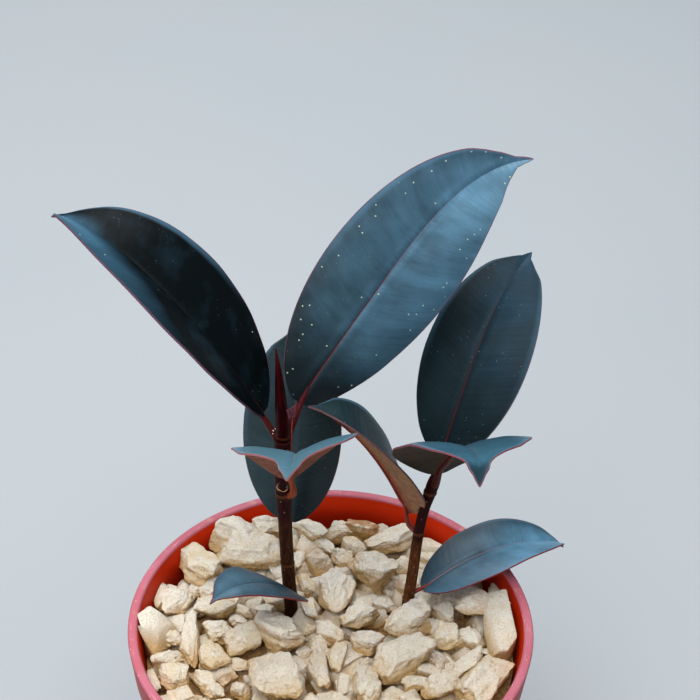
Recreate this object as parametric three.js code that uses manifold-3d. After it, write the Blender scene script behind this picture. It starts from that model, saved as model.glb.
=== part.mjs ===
// A young rubber plant in a small plastic pot: two stems with nine leaves, in soil topped with stone chips.
// Millimetres, +Z up. The origin is the middle of the pot's underside, and -Y is the side that the plant faces.
import * as THREE from "three";
import { mergeVertices } from "three/addons/utils/BufferGeometryUtils.js";
import Module from "manifold-3d";

const wasm = await Module();
wasm.setup();

// Pot, measured from a 105 mm rim
const POT_HEIGHT = 90;
const RIM_RADIUS = 52.5;
const RIM_WIDTH = 2.5;
const RIM_BAND = 11;
const RIM_ROUND = 0.7;
const FOOT_ROUND = 1;
const BAND_STEP = 1.8;
const WALL = 1.4;
const FLOOR = 2;
const FLOOR_RADIUS = 35.2;
const POT_SIDES = 64;
const DRAIN_HOLES = 6;
const DRAIN_RADIUS = 3.5;
const DRAIN_CIRCLE = 23;

// Filling
const SEAT_GAP = 0.3;
const SOIL_TOP = 70;
const BED_TOP = 83.4;
const CHIP_SEED = 20264;
const CHIP_SIZES = [[9, 13, 160], [6.5, 9, 700], [4.5, 6, 1200]];
const CHIP_SPACING = 0.69;
const CHIP_SINK = 0.28;
const CHIP_LENGTHS = [1.05, 0.6];
const CHIP_THICKNESSES = [0.62, 0.2];
const CORNER_SHARES = [0.88, 0.3];
const MOST_TILT = 7;
const SMALL_CHIP = 7;
const ABOVE_CHIPS = 20;

// Plant
const BLADE_THICKNESS = 0.8;
const TIP_HALF_WIDTH = 0.4;
const BODY_SHARE = 0.955;
const WIDEST_SHIFT = 0.92;
const ROUNDNESS = 0.62;
const TIP_SHARE = 0.085;
const TIP_LENGTH = 0.075;
const BLADE_ROWS = 14;
const BLADE_COLUMNS = 6;
const MIDRIB_TAPER = [[0.06, 0.95], [0.25, 0.75], [0.45, 0.6], [0.66, 0.4]];
const MIDRIB_STEPS = 40;
const MIDRIB_INSET = 0.25;

// Chips that stand out on the surface: x, y, length, width, turn in degrees, lift of the far end in degrees
const LANDMARK_CHIPS = [
  [-46.8, -0.7, 15, 9, -40, -42],
  [-42, -0.5, 10, 6, -65, 4],
  [-46.2, 14.5, 10, 4.5, 78, 0],
  [-41, 11.5, 12, 8, 60, 6],
  [-38, 25.5, 14, 11, -35, 0],
  [-30, 38, 13, 11, -30, 0],
  [-23, 29, 19, 14, -20, 0],
  [-18, 41, 10, 8, 10, 0],
  [-31, 9.5, 13, 8, 10, 0],
  [-36.4, -2, 19, 5.5, 88, 3],
  [-29.5, 1.5, 9, 8.5, 0, 0],
  [-42, -9.5, 9, 6, 35, 0],
  [-39.5, -16.5, 9, 8, 0, 0],
  [-22, -2, 13, 9, 25, 0],
  [-13.5, -1, 14, 11, -70, 4],
  [-30, -8.5, 10, 8, -30, 0],
  [-14.5, -16.5, 18, 13, -60, 0],
  [-3, -11, 15, 6, -75, 0],
  [-3.8, 28.5, 10, 8, -40, 0],
  [-6.5, 41, 10, 7, -10, 0],
  [1, 16, 17, 10, 75, 0],
  [11, 24.5, 14, 12, 0, 0],
  [7.5, 7.8, 12, 9, 15, 3],
  [9, -1.2, 9, 8, -45, 0],
  [9.5, -17.5, 14, 8, 80, 0],
  [18, -8, 18, 11, 50, 4],
  [19.5, 4.5, 13, 9, 20, 0],
  [30, 0.5, 10, 8, 30, 0],
  [39.2, 12, 15, 8, 5, 0],
  [45, 1.5, 15, 6, -82, 0],
  [40, -14, 19, 12, 50, 0],
  [28.5, -16.5, 11, 9, 0, 0],
  [16, 37, 15, 9, 35, 0],
  [7, 42.5, 13, 7, -25, 0],
];

// Smaller chips between them: x, y, length, width, turn in degrees. They lie level.
const SMALLER_CHIPS = [
  [-44, 18.5, 5, 4, 0], [-36.5, 18, 7, 4, 70], [-33, 18, 9, 6, 80], [-40.5, 3, 6, 4, -50],
  [-39.5, 6.5, 4, 3, 0], [-24.5, 6, 5.5, 5, 0], [-45.5, -15.5, 10, 3.5, -75], [-41, -22.5, 7, 5, 0],
  [-8, 4, 9, 6, -30], [-24, -9, 9, 5, -25], [-26, -14, 7, 4, 40], [-32, -15.5, 8, 5, -50],
  [-29, -19.5, 6, 5, 0], [-22.5, -18.5, 6, 5, 0], [-36, -24.5, 9, 4, 0], [-25, -23.5, 8, 5, 0],
  [-9.5, -11.5, 8, 6, 0], [-6.5, -4.5, 7, 4, 60], [-8, -16.5, 9, 4, 90], [-4, -21.5, 6, 5, 0],
  [-5.5, 11, 8, 4.5, -70], [-7, 21, 10, 5, -80], [-9, 31, 9, 5, 70], [-2.5, 36.5, 8, 4, -50],
  [-17.5, 10.5, 6, 4, -20], [-23, 10, 6, 4, -30], [-17, 35.5, 7, 6, 0], [14.5, 13.5, 8, 5, -10],
  [1.5, -6, 12, 6, 75], [0, 2.5, 10, 6, -10], [7, -11, 9, 5.5, 65], [37, 1.5, 8, 6.5, -50],
  [30, 10.5, 9, 6, -60], [44.5, 17.5, 9, 5, 90], [36, 16, 10, 3.5, 5], [36, -6.5, 13, 6, 50],
  [28, -6.5, 8, 5, -30], [22, -14.5, 8, 4.5, 20], [21, -20.5, 6, 5, 0], [15.5, -18.5, 7, 5, 30],
  [2, -20.5, 6, 6, 0], [20, 29.5, 9, 7, 0], [2, 41.5, 9, 7, 0], [2.5, 30.5, 8, 6, -50],
  [20, 20, 8, 6, 0], [26, 31.5, 8, 5, 0], [42, -2.5, 6, 4, 0],
];

// Stem centre lines: x, y, z, radius. Nodes are the rings that old leaves leave.
const STEMS = {
  stem_left: {
    knots: [
      [-10, 13.2, 48, 1.7], [-10.4, 13.2, 68, 1.8], [-10.9, 13.2, 83.5, 1.8], [-11.8, 13.2, 98, 1.8],
      [-12.6, 13.2, 113, 1.8], [-13.1, 13.2, 124.1, 2.1], [-13.3, 13.2, 133.2, 2.4], [-13.3, 13.2, 139.5, 2.2],
    ],
    nodes: [87, 98, 122.1, 138.7],
    colour: 0x4a2620,
  },
  stem_right: {
    knots: [
      [19.4, 12.8, 48, 1.3], [19.8, 12.8, 68, 1.4], [20.1, 12.8, 83.5, 1.5], [21, 12.8, 94.4, 1.45],
      [21.8, 12.8, 107.7, 1.4], [23, 12.8, 117.8, 1.35], [25, 12.8, 127.2, 1.7], [26.2, 12.8, 132.6, 0.5],
    ],
    nodes: [87.1, 110.3, 124.1],
    colour: 0x522c22,
  },
};
const NODE_SWELL = 0.35;
const NODE_LENGTH = 0.9;
const STEM_SIDES = 10;
const SCAR_PLACE = [-13.4, 11.4, 125.9];
const SCAR_RADIUS = 1.5;
const SCAR_FLATNESS = 0.55;
const HOLLOW_SHARE = 0.62;
const SHEATH_KNOTS = [
  [-13.3, 13.2, 139.9, 1.5], [-13.4, 13.2, 144.1, 1.75], [-13.8, 13.2, 152.1, 1.45],
  [-14.4, 13.2, 161, 0.85], [-15.1, 13.2, 168.3, 0.25],
];

// Leaves. base is where the blade starts, heading its compass angle from +X and rise its slope there, in degrees.
// droop (growing as t to the power bend) and hook lower the slope towards the tip, and swing turns the heading.
// roll and twist tip the blade round its midrib, fold lifts both halves and curl bends them back down.
// petiole is its route from the stem's axis to the base: x, y, z, radius.
const LEAVES = {
  leaf_upper_left: {
    base: [-18.4, 16.5, 145.4], length: 78.5, width: 41.7, heading: 162, rise: 57, droop: 49, bend: 1.15,
    swing: -23, roll: 13, twist: 7, fold: 19, foldTip: 24, curl: 0.13, hook: 33,
    petiole: [[-13.1, 13.2, 136.2, 1.5], [-15.5, 14.6, 140.3, 1.35]], stem: "stem_left", colour: 0x16232a,
  },
  leaf_upper_right: {
    base: [-9.4, 18.4, 147.8], length: 87.8, width: 32.4, heading: 33, rise: 52.8, droop: -15.8, bend: 1.46,
    swing: -38.8, roll: 65.2, twist: 8.9, fold: 0.5, foldTip: 23.7, curl: 0.22, hook: 61.2,
    petiole: [[-12.9, 13.2, 135.2, 1.4], [-10.8, 16.7, 141.6, 1.3]], stem: "stem_left", colour: 0x2c4350,
  },
  leaf_back: {
    base: [-11.5, 19.8, 106.7], length: 55.9, width: 25.8, heading: 90, rise: 71.3, droop: -6.5, bend: 1.44,
    swing: -8.9, roll: -7.8, twist: 4, fold: 4, foldTip: 9.7, curl: 0.08, hook: -2.5,
    petiole: [[-11.4, 13.2, 97.6, 1.2], [-11.5, 17, 101.6, 1.05]], stem: "stem_left", colour: 0x1d2e33,
  },
  leaf_front_left: {
    base: [-11.4, 10.7, 128.2], length: 69.5, width: 33, heading: -80.8, rise: 70.8, droop: 41.6, bend: 0.5,
    swing: -15.1, roll: 2.8, twist: 7.5, fold: 28.4, foldTip: 25.2, curl: 0.28, hook: 12.1,
    petiole: [[-12.2, 13, 121.4, 1.4], [-10.4, 10.6, 124.6, 1.3]], stem: "stem_left", colour: 0x35505e,
  },
  leaf_low_left: {
    base: [-7, 9, 88.8], length: 35.9, width: 14.5, heading: 199.1, rise: 48.8, droop: 37.6, bend: 1.17,
    swing: 36.7, roll: 25.4, twist: -44.3, fold: 4.7, foldTip: 30.6, curl: 0.28, hook: 24.5,
    petiole: [[-11, 13.1, 86.7, 0.9], [-8.3, 10.8, 87.7, 0.8]], stem: "stem_left", colour: 0x34505f,
  },
  leaf_tall_right: {
    base: [26.6, 15.3, 133.4], length: 59.7, width: 28.2, heading: 59.1, rise: 60, droop: 32.5, bend: 1.7,
    swing: -1.8, roll: -6.7, twist: 12.8, fold: 5.2, foldTip: 3.8, curl: 0.12, hook: 29,
    petiole: [[25.1, 13, 127.6, 1], [26.1, 14.5, 131, 0.95]], stem: "stem_right", colour: 0x1c2c33,
  },
  leaf_front_right: {
    base: [25.7, 10.1, 132.2], length: 69.5, width: 33.6, heading: -73.1, rise: 68.5, droop: 39.5, bend: 0.5,
    swing: -18.6, roll: -4.6, twist: 9.9, fold: 20.4, foldTip: 35.2, curl: 0.35, hook: 21.6,
    petiole: [[24.9, 12.6, 126, 1.3], [25.6, 10.8, 129.2, 1.25]], stem: "stem_right", colour: 0x2e4653,
  },
  leaf_low_right: {
    base: [24.1, 12.7, 90.4], length: 48.5, width: 22, heading: 29.3, rise: 31, droop: 64.4, bend: 0.86,
    swing: 1.7, roll: -9.9, twist: 1.5, fold: -2.5, foldTip: 26.2, curl: 0.08, hook: 12,
    petiole: [[20.3, 12.8, 87.2, 0.85], [22.1, 12.7, 89.5, 0.8]], stem: "stem_right", colour: 0x3d5b6b,
  },
  leaf_arching: {
    base: [19.4, 16.6, 113.8], length: 48.9, width: 22.8, heading: 209.3, rise: 68.3, droop: 23.2, bend: 1.44,
    swing: -26.9, roll: 0, twist: 4.7, fold: 31.6, foldTip: 29.1, curl: 0.12, hook: 23.8,
    petiole: [[21.8, 12.9, 109.8, 0.9], [19.3, 14.3, 111.8, 0.85]], stem: "stem_right", colour: 0x5a463c,
  },
};

// ---------- solids ----------

function toSolid(geometry) {
  const bare = new THREE.BufferGeometry();
  bare.setAttribute("position", geometry.getAttribute("position"));
  bare.setIndex(geometry.index);
  const merged = mergeVertices(bare, 1e-4);
  const vertProperties = merged.getAttribute("position").array;
  const triVerts = new Uint32Array(merged.index.array);
  return new wasm.Manifold(new wasm.Mesh({ numProp: 3, vertProperties, triVerts }));
}

function toGeometry(solid) {
  const mesh = solid.getMesh();
  const geometry = new THREE.BufferGeometry();
  geometry.setAttribute("position", new THREE.BufferAttribute(mesh.vertProperties, 3));
  geometry.setIndex(new THREE.BufferAttribute(mesh.triVerts, 1));
  return geometry;
}

// Turns a profile of [radius, height] points, walked from the axis round to the axis, about Z.
function turned(profile) {
  const points = profile.map(([radius, height]) => new THREE.Vector2(radius, height));
  return new THREE.LatheGeometry(points, POT_SIDES).rotateX(Math.PI / 2);
}

function piece(name, solid, colour, roughness) {
  const material = new THREE.MeshStandardMaterial({ color: colour, roughness, metalness: 0 });
  const mesh = new THREE.Mesh(toGeometry(solid), material);
  mesh.name = name;
  return mesh;
}

// Park-Miller random numbers, so that every run places the same chips.
function randomSource(seed) {
  const factor = 16807;
  const modulus = 2147483647;
  let state = seed;
  return () => {
    state = (state * factor) % modulus;
    return state / modulus;
  };
}

// A random number in a range given as its lowest value and its length.
function drawn([lowest, range], random) {
  return lowest + range * random();
}

// ---------- pot and soil ----------

// Radius of the pot's inner wall at a height.
function innerWall(height) {
  const share = (height - FLOOR) / (POT_HEIGHT - FLOOR);
  return FLOOR_RADIUS + (RIM_RADIUS - RIM_WIDTH - FLOOR_RADIUS) * share;
}

function potSolid() {
  const bandFoot = POT_HEIGHT - RIM_BAND;
  const footRadius = FLOOR_RADIUS + WALL;
  const shoulder = innerWall(bandFoot) + WALL;
  const profile = [
    [0, 0],
    [footRadius - FOOT_ROUND, 0],
    [footRadius, FOOT_ROUND],
    [shoulder, bandFoot],
    [shoulder + BAND_STEP, bandFoot + RIM_ROUND],
    [RIM_RADIUS, POT_HEIGHT - RIM_ROUND],
    [RIM_RADIUS - RIM_ROUND, POT_HEIGHT],
    [RIM_RADIUS - RIM_WIDTH + RIM_ROUND, POT_HEIGHT],
    [innerWall(POT_HEIGHT - RIM_ROUND), POT_HEIGHT - RIM_ROUND],
    [FLOOR_RADIUS, FLOOR],
    [0, FLOOR],
  ];
  let pot = toSolid(turned(profile));
  for (let hole = 0; hole < DRAIN_HOLES; hole++) {
    const angle = (hole / DRAIN_HOLES) * 2 * Math.PI;
    const drill = new THREE.CylinderGeometry(DRAIN_RADIUS, DRAIN_RADIUS, 3 * FLOOR, 16).rotateX(Math.PI / 2);
    drill.translate(DRAIN_CIRCLE * Math.cos(angle), DRAIN_CIRCLE * Math.sin(angle), 0);
    pot = pot.subtract(toSolid(drill));
  }
  return pot;
}

// Fill between two heights, clear of the pot's wall.
function fillSolid(low, high) {
  const lowRadius = innerWall(low) - SEAT_GAP;
  return toSolid(turned([[0, low], [lowRadius, low], [innerWall(high) - SEAT_GAP, high], [0, high]]));
}

// ---------- stems ----------

// Closed tube on a smooth path through knots of [x, y, z, radius]. grow pushes its skin out all round.
function tube(knots, sides, stepsPerSpan, grow = 0, swell = () => 0) {
  const path = new THREE.CatmullRomCurve3(knots.map(([x, y, z]) => new THREE.Vector3(x, y, z)));
  const rings = (knots.length - 1) * stepsPerSpan;
  const side = new THREE.Vector3(1, 0.13, 0);
  const positions = [];
  const faces = [];
  for (let ring = 0; ring <= rings; ring++) {
    const centre = path.getPoint(ring / rings);
    const along = path.getTangent(ring / rings);
    if (ring === 0) centre.addScaledVector(along, -grow);
    if (ring === rings) centre.addScaledVector(along, grow);
    side.addScaledVector(along, -side.dot(along)).normalize();
    const across = new THREE.Vector3().crossVectors(along, side);
    const span = Math.min(Math.floor(ring / stepsPerSpan), knots.length - 2);
    const share = ring / stepsPerSpan - span;
    const radius = knots[span][3] * (1 - share) + knots[span + 1][3] * share + grow + swell(centre.z);
    for (let corner = 0; corner < sides; corner++) {
      const angle = (corner / sides) * 2 * Math.PI;
      const point = centre.clone().addScaledVector(side, radius * Math.cos(angle));
      point.addScaledVector(across, radius * Math.sin(angle));
      positions.push(point.x, point.y, point.z);
    }
  }
  for (let ring = 0; ring < rings; ring++) {
    for (let corner = 0; corner < sides; corner++) {
      const here = ring * sides + corner;
      const next = ring * sides + ((corner + 1) % sides);
      faces.push(here, next, next + sides, here, next + sides, here + sides);
    }
  }
  for (let corner = 1; corner < sides - 1; corner++) {
    faces.push(0, corner + 1, corner);
    faces.push(rings * sides, rings * sides + corner, rings * sides + corner + 1);
  }
  const geometry = new THREE.BufferGeometry();
  geometry.setAttribute("position", new THREE.Float32BufferAttribute(positions, 3));
  geometry.setIndex(faces);
  return geometry;
}

function stemSolid(stem, grow = 0) {
  const swell = (height) => {
    const rings = stem.nodes.map((node) => Math.exp(-(((height - node) / NODE_LENGTH) ** 2)));
    return NODE_SWELL * Math.max(...rings);
  };
  return toSolid(tube(stem.knots, STEM_SIDES, 5, grow, swell));
}

// The left stem has the round scar of a fallen leaf: a raised ring with a hollow in it.
function scarRing(grow = 0) {
  const ball = new THREE.SphereGeometry(SCAR_RADIUS + grow, 12, 8).scale(1, SCAR_FLATNESS, 1);
  return toSolid(ball.translate(...SCAR_PLACE));
}

function scarHollow() {
  const [x, y, z] = SCAR_PLACE;
  const ball = new THREE.SphereGeometry(SCAR_RADIUS * HOLLOW_SHARE, 10, 6).scale(1, SCAR_FLATNESS, 1);
  return toSolid(ball.translate(x, y - SCAR_RADIUS * SCAR_FLATNESS, z));
}

// ---------- leaves ----------

// Half width of the blade as a share of its greatest: rounded at the base, then drawn out into a drip tip.
function outline(t) {
  const q = Math.min(t / BODY_SHARE, 1) ** WIDEST_SHIFT;
  const body = (4 * q * (1 - q)) ** ROUNDNESS;
  const tail = TIP_SHARE * Math.min(1, (1 - t) / TIP_LENGTH);
  return Math.hypot(body, tail);
}

function midribDirection(leaf, t) {
  const slope = THREE.MathUtils.degToRad(leaf.rise - leaf.droop * t ** leaf.bend - leaf.hook * t ** 5);
  const turn = THREE.MathUtils.degToRad(leaf.heading + leaf.swing * t);
  const level = Math.cos(slope);
  return new THREE.Vector3(level * Math.cos(turn), level * Math.sin(turn), Math.sin(slope));
}

// Gives the blade's point at t (0 base, 1 tip) and v (-1 right edge, 1 left edge), lifted off its middle surface.
function bladeForm(leaf) {
  const joints = [new THREE.Vector3(...leaf.base)];
  for (let step = 0; step < MIDRIB_STEPS; step++) {
    const along = midribDirection(leaf, (step + 0.5) / MIDRIB_STEPS);
    joints.push(joints[step].clone().addScaledVector(along, leaf.length / MIDRIB_STEPS));
  }
  return (t, v, lift) => {
    const step = Math.min(Math.floor(t * MIDRIB_STEPS), MIDRIB_STEPS - 1);
    const centre = joints[step].clone().lerp(joints[step + 1], t * MIDRIB_STEPS - step);
    const along = midribDirection(leaf, t);
    const turn = THREE.MathUtils.degToRad(leaf.heading + leaf.swing * t);
    const side = new THREE.Vector3(-Math.sin(turn), Math.cos(turn), 0);
    side.applyAxisAngle(along, THREE.MathUtils.degToRad(leaf.roll + leaf.twist * t));
    const up = new THREE.Vector3().crossVectors(along, side);
    const half = Math.max((leaf.width / 2) * outline(t), TIP_HALF_WIDTH);
    const reach = Math.abs(v) * half;
    const fold = THREE.MathUtils.degToRad(leaf.fold + (leaf.foldTip - leaf.fold) * t);
    const bend = (2 * leaf.curl) / leaf.width;
    const slope = Math.atan2(Math.sin(fold) - 2 * bend * reach, Math.cos(fold));
    centre.addScaledVector(side, Math.sign(v) * (reach * Math.cos(fold) - lift * Math.sin(slope)));
    const rise = reach * Math.sin(fold) - bend * reach * reach;
    return centre.addScaledVector(up, rise + lift * (v ? Math.cos(slope) : 1));
  };
}

// The blade as a thin slab, with both faces split into triangles alike.
function bladeGeometry(form, rows, columns) {
  const positions = [];
  for (const lift of [BLADE_THICKNESS / 2, -BLADE_THICKNESS / 2]) {
    for (let row = 0; row <= rows; row++) {
      const even = row / rows;
      const t = (even + 0.5 - 0.5 * Math.cos(Math.PI * even)) / 2;
      for (let column = 0; column <= columns; column++) {
        const point = form(t, (2 * column) / columns - 1, lift);
        positions.push(point.x, point.y, point.z);
      }
    }
  }
  const across = columns + 1;
  const under = across * (rows + 1);
  const faces = [];
  for (let row = 0; row < rows; row++) {
    for (let column = 0; column < columns; column++) {
      const a = row * across + column;
      const b = a + across;
      faces.push(a, b + 1, a + 1, a, b, b + 1);
      faces.push(under + a, under + a + 1, under + b + 1, under + a, under + b + 1, under + b);
    }
  }
  const border = [];
  for (let column = 0; column < columns; column++) border.push(column);
  for (let row = 0; row < rows; row++) border.push(row * across + columns);
  for (let column = columns; column > 0; column--) border.push(rows * across + column);
  for (let row = rows; row > 0; row--) border.push(row * across);
  border.forEach((here, place) => {
    const next = border[(place + 1) % border.length];
    faces.push(here, next, under + next, here, under + next, under + here);
  });
  const geometry = new THREE.BufferGeometry();
  geometry.setAttribute("position", new THREE.Float32BufferAttribute(positions, 3));
  geometry.setIndex(faces);
  return geometry;
}

// Petiole and midrib are one tapering rod: from the stem to the base, then along the blade's underside.
function midribKnots(leaf, form) {
  const ribs = MIDRIB_TAPER.map(([t, share]) => {
    const radius = leaf.petiole[1][3] * share;
    const point = form(t, 0, MIDRIB_INSET - radius);
    return [point.x, point.y, point.z, radius];
  });
  return [...leaf.petiole, ...ribs];
}

function leafSolid(leaf) {
  const form = bladeForm(leaf);
  const blade = toSolid(bladeGeometry(form, BLADE_ROWS, BLADE_COLUMNS));
  return blade.add(toSolid(tube(midribKnots(leaf, form), 6, 2)));
}

// ---------- stone chips ----------

// Discs that cover a chip's plan: used to keep chips from covering each other.
function planDiscs([x, y, length, width, turn]) {
  const reach = (length - width) / 2;
  const angle = THREE.MathUtils.degToRad(turn);
  return [-1, 0, 1].map((end) => [x + end * reach * Math.cos(angle), y + end * reach * Math.sin(angle), width / 2]);
}

// The chips listed above, then smaller and smaller ones wherever they fit.
function placeChips(random) {
  const chips = [...LANDMARK_CHIPS, ...SMALLER_CHIPS.map((chip) => [...chip, 0])];
  const taken = chips.flatMap(planDiscs);
  for (const [small, large, tries] of CHIP_SIZES) {
    for (let attempt = 0; attempt < tries; attempt++) {
      const width = small + (large - small) * random();
      const length = width * drawn(CHIP_LENGTHS, random);
      const radius = (innerWall(BED_TOP) - width / 2) * Math.sqrt(random());
      const angle = 2 * Math.PI * random();
      const turn = 360 * random();
      const tilt = MOST_TILT * (2 * random() - 1);
      const chip = [radius * Math.cos(angle), radius * Math.sin(angle), length, width, turn, tilt];
      const discs = planDiscs(chip);
      const clear = discs.every(([x, y, reach]) =>
        taken.every(([tx, ty, other]) => Math.hypot(x - tx, y - ty) > CHIP_SPACING * (reach + other)),
      );
      if (clear) {
        chips.push(chip);
        taken.push(...discs);
      }
    }
  }
  return chips;
}

// One crushed chip: a block with its corners pushed in and out, sunk into the bed. Small ones have six faces.
function chipSolid([x, y, length, width, turn, tilt], random) {
  const start = width < SMALL_CHIP ? new THREE.BoxGeometry(1.2, 1.2, 1.2) : new THREE.IcosahedronGeometry(1, 0);
  const block = mergeVertices(start.deleteAttribute("normal").deleteAttribute("uv"));
  const corners = block.getAttribute("position");
  for (let corner = 0; corner < corners.count; corner++) {
    const share = drawn(CORNER_SHARES, random);
    corners.setXYZ(corner, corners.getX(corner) * share, corners.getY(corner) * share, corners.getZ(corner) * share);
  }
  const thickness = width * drawn(CHIP_THICKNESSES, random);
  block.rotateX(2 * Math.PI * random());
  block.scale(length / 2, width / 2, thickness / 2);
  block.rotateY(THREE.MathUtils.degToRad(-tilt));
  block.rotateZ(THREE.MathUtils.degToRad(turn));
  block.computeBoundingBox();
  const { min, max } = block.boundingBox;
  return toSolid(block.translate(x, y, BED_TOP - min.z - CHIP_SINK * (max.z - min.z)));
}

// Room for the chips: inside the wall, and above the rim no wider than the rim.
function chipRoom() {
  const top = POT_HEIGHT + SEAT_GAP;
  const reach = RIM_RADIUS - RIM_WIDTH / 4;
  const low = SOIL_TOP + SEAT_GAP;
  return toSolid(
    turned([[0, low], [innerWall(low) - SEAT_GAP, low], [innerWall(top) - SEAT_GAP, top],
      [reach, top], [reach, top + ABOVE_CHIPS], [0, top + ABOVE_CHIPS]]),
  );
}

function gravelSolid() {
  const random = randomSource(CHIP_SEED);
  const chips = placeChips(random).map((chip) => chipSolid(chip, random));
  const bed = fillSolid(SOIL_TOP + SEAT_GAP, BED_TOP);
  return wasm.Manifold.union([bed, ...chips]).intersect(chipRoom());
}

// ---------- the plant in its pot ----------

const stems = {};
const stemRooms = {};
for (const [name, stem] of Object.entries(STEMS)) {
  stems[name] = stemSolid(stem);
  stemRooms[name] = stemSolid(stem, SEAT_GAP);
}
stems.stem_left = stems.stem_left.add(scarRing()).subtract(scarHollow());
stemRooms.stem_left = stemRooms.stem_left.add(scarRing(SEAT_GAP));
const sheath = toSolid(tube(SHEATH_KNOTS, STEM_SIDES, 4));
const sheathRoom = toSolid(tube(SHEATH_KNOTS, STEM_SIDES, 4, SEAT_GAP));

let soil = fillSolid(FLOOR + SEAT_GAP, SOIL_TOP);
let gravel = gravelSolid();
for (const room of Object.values(stemRooms)) {
  soil = soil.subtract(room);
  gravel = gravel.subtract(room);
}

const plant = new THREE.Group();
plant.add(piece("pot", potSolid(), 0xb5382c, 0.45));
plant.add(piece("potting_soil", soil, 0x33241a, 0.95));
plant.add(piece("gravel", gravel, 0xe0d4b8, 0.9));
for (const [name, stem] of Object.entries(STEMS)) {
  plant.add(piece(name, stems[name], stem.colour, 0.5));
}
plant.add(piece("bud_sheath", sheath, 0x4a0f14, 0.45));
for (const [name, leaf] of Object.entries(LEAVES)) {
  const solid = leafSolid(leaf).subtract(stemRooms[leaf.stem]).subtract(sheathRoom);
  plant.add(piece(name, solid, leaf.colour, 0.3));
}

export default plant;
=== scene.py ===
# A young rubber plant in a small round plastic pot topped with stone chips, as fine pieces around its frame.
# Lengths in the dictionaries are millimetres and turns are degrees. +Z is up and -Y is the side it faces.
import math
import random

import bpy
import numpy as np
from mathutils import Matrix, Vector


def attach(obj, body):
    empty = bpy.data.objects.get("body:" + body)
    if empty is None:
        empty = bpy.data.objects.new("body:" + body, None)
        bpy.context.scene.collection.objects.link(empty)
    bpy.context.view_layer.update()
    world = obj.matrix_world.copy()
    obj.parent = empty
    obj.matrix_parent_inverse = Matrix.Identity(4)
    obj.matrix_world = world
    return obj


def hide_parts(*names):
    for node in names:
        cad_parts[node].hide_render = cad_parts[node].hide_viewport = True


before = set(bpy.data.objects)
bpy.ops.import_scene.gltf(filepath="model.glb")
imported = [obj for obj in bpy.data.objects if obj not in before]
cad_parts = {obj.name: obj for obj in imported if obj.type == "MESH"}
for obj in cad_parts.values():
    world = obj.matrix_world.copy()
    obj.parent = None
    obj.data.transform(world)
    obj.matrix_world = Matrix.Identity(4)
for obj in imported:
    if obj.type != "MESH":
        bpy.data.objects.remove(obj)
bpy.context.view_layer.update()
mm = 0.001
scene = bpy.context.scene


# tools for making pieces

def selectOnly(*pieces):
    if bpy.context.object and bpy.context.object.mode != "OBJECT":
        bpy.ops.object.mode_set(mode="OBJECT")
    bpy.ops.object.select_all(action="DESELECT")
    for piece in pieces:
        piece.select_set(True)
    if pieces:
        bpy.context.view_layer.objects.active = pieces[0]


def edit(piece, selectMode="VERT"):
    selectOnly(piece)
    bpy.ops.object.mode_set(mode="EDIT")
    bpy.ops.mesh.select_mode(type=selectMode)


def modify(piece, kind, **settings):
    selectOnly(piece)
    change = piece.modifiers.new(kind.lower(), kind)
    for name, value in settings.items():
        setattr(change, name, value)
    bpy.ops.object.modifier_apply(modifier=change.name)


def joined(name, pieces):
    selectOnly(*pieces)
    if len(pieces) > 1:
        bpy.ops.object.join()
    whole = bpy.context.object
    whole.name = name
    whole.data.name = name
    return whole


def placed(piece):
    selectOnly(piece)
    bpy.ops.object.transform_apply(location=True, rotation=True, scale=True)


def points(piece):
    flat = np.empty(len(piece.data.vertices) * 3)
    piece.data.vertices.foreach_get("co", flat)
    return flat.reshape(-1, 3)


def setPoints(piece, places):
    piece.data.vertices.foreach_set("co", np.ascontiguousarray(places, dtype=float).ravel())
    piece.data.update()


def addMap(piece, name, pairs):
    # a UV map from one pair of numbers for each vertex
    layer = piece.data.uv_layers.new(name=name)
    corners = np.empty(len(piece.data.loops), dtype=int)
    piece.data.loops.foreach_get("vertex_index", corners)
    layer.data.foreach_set("uv", pairs[corners].astype(float).ravel())


def newPiece(add, **settings):
    selectOnly()
    add(**settings)
    return bpy.context.object


def weld(threshold):
    bpy.ops.mesh.select_all(action="SELECT")
    bpy.ops.mesh.remove_doubles(threshold=threshold)
    bpy.ops.mesh.normals_make_consistent(inside=False)


def shapedGrid(rows, columns):
    # a grid to be shaped, with each vertex's place across it from -1 to 1 and along it from 0 to 1
    sheet = newPiece(bpy.ops.mesh.primitive_grid_add, x_subdivisions=columns, y_subdivisions=rows, size=2)
    while sheet.data.uv_layers:
        sheet.data.uv_layers.remove(sheet.data.uv_layers[0])
    flat = points(sheet)
    return sheet, flat[:, 0], (flat[:, 1] + 1) / 2


def smoothPath(knots, steps):
    # Catmull-Rom curve through knots of any width
    known = np.array(knots, dtype=float)
    known = np.vstack([2 * known[0] - known[1], known, 2 * known[-1] - known[-2]])
    places = []
    for span in range(len(known) - 3):
        before, start, end, after = known[span:span + 4]
        for w in np.linspace(0, 1, steps, endpoint=False):
            square = (2 * before - 5 * start + 4 * end - after) * w ** 2
            cube = (3 * start - before - 3 * end + after) * w ** 3
            places.append(0.5 * (2 * start + (end - before) * w + square + cube))
    return np.array(places + [known[-2]])


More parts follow.
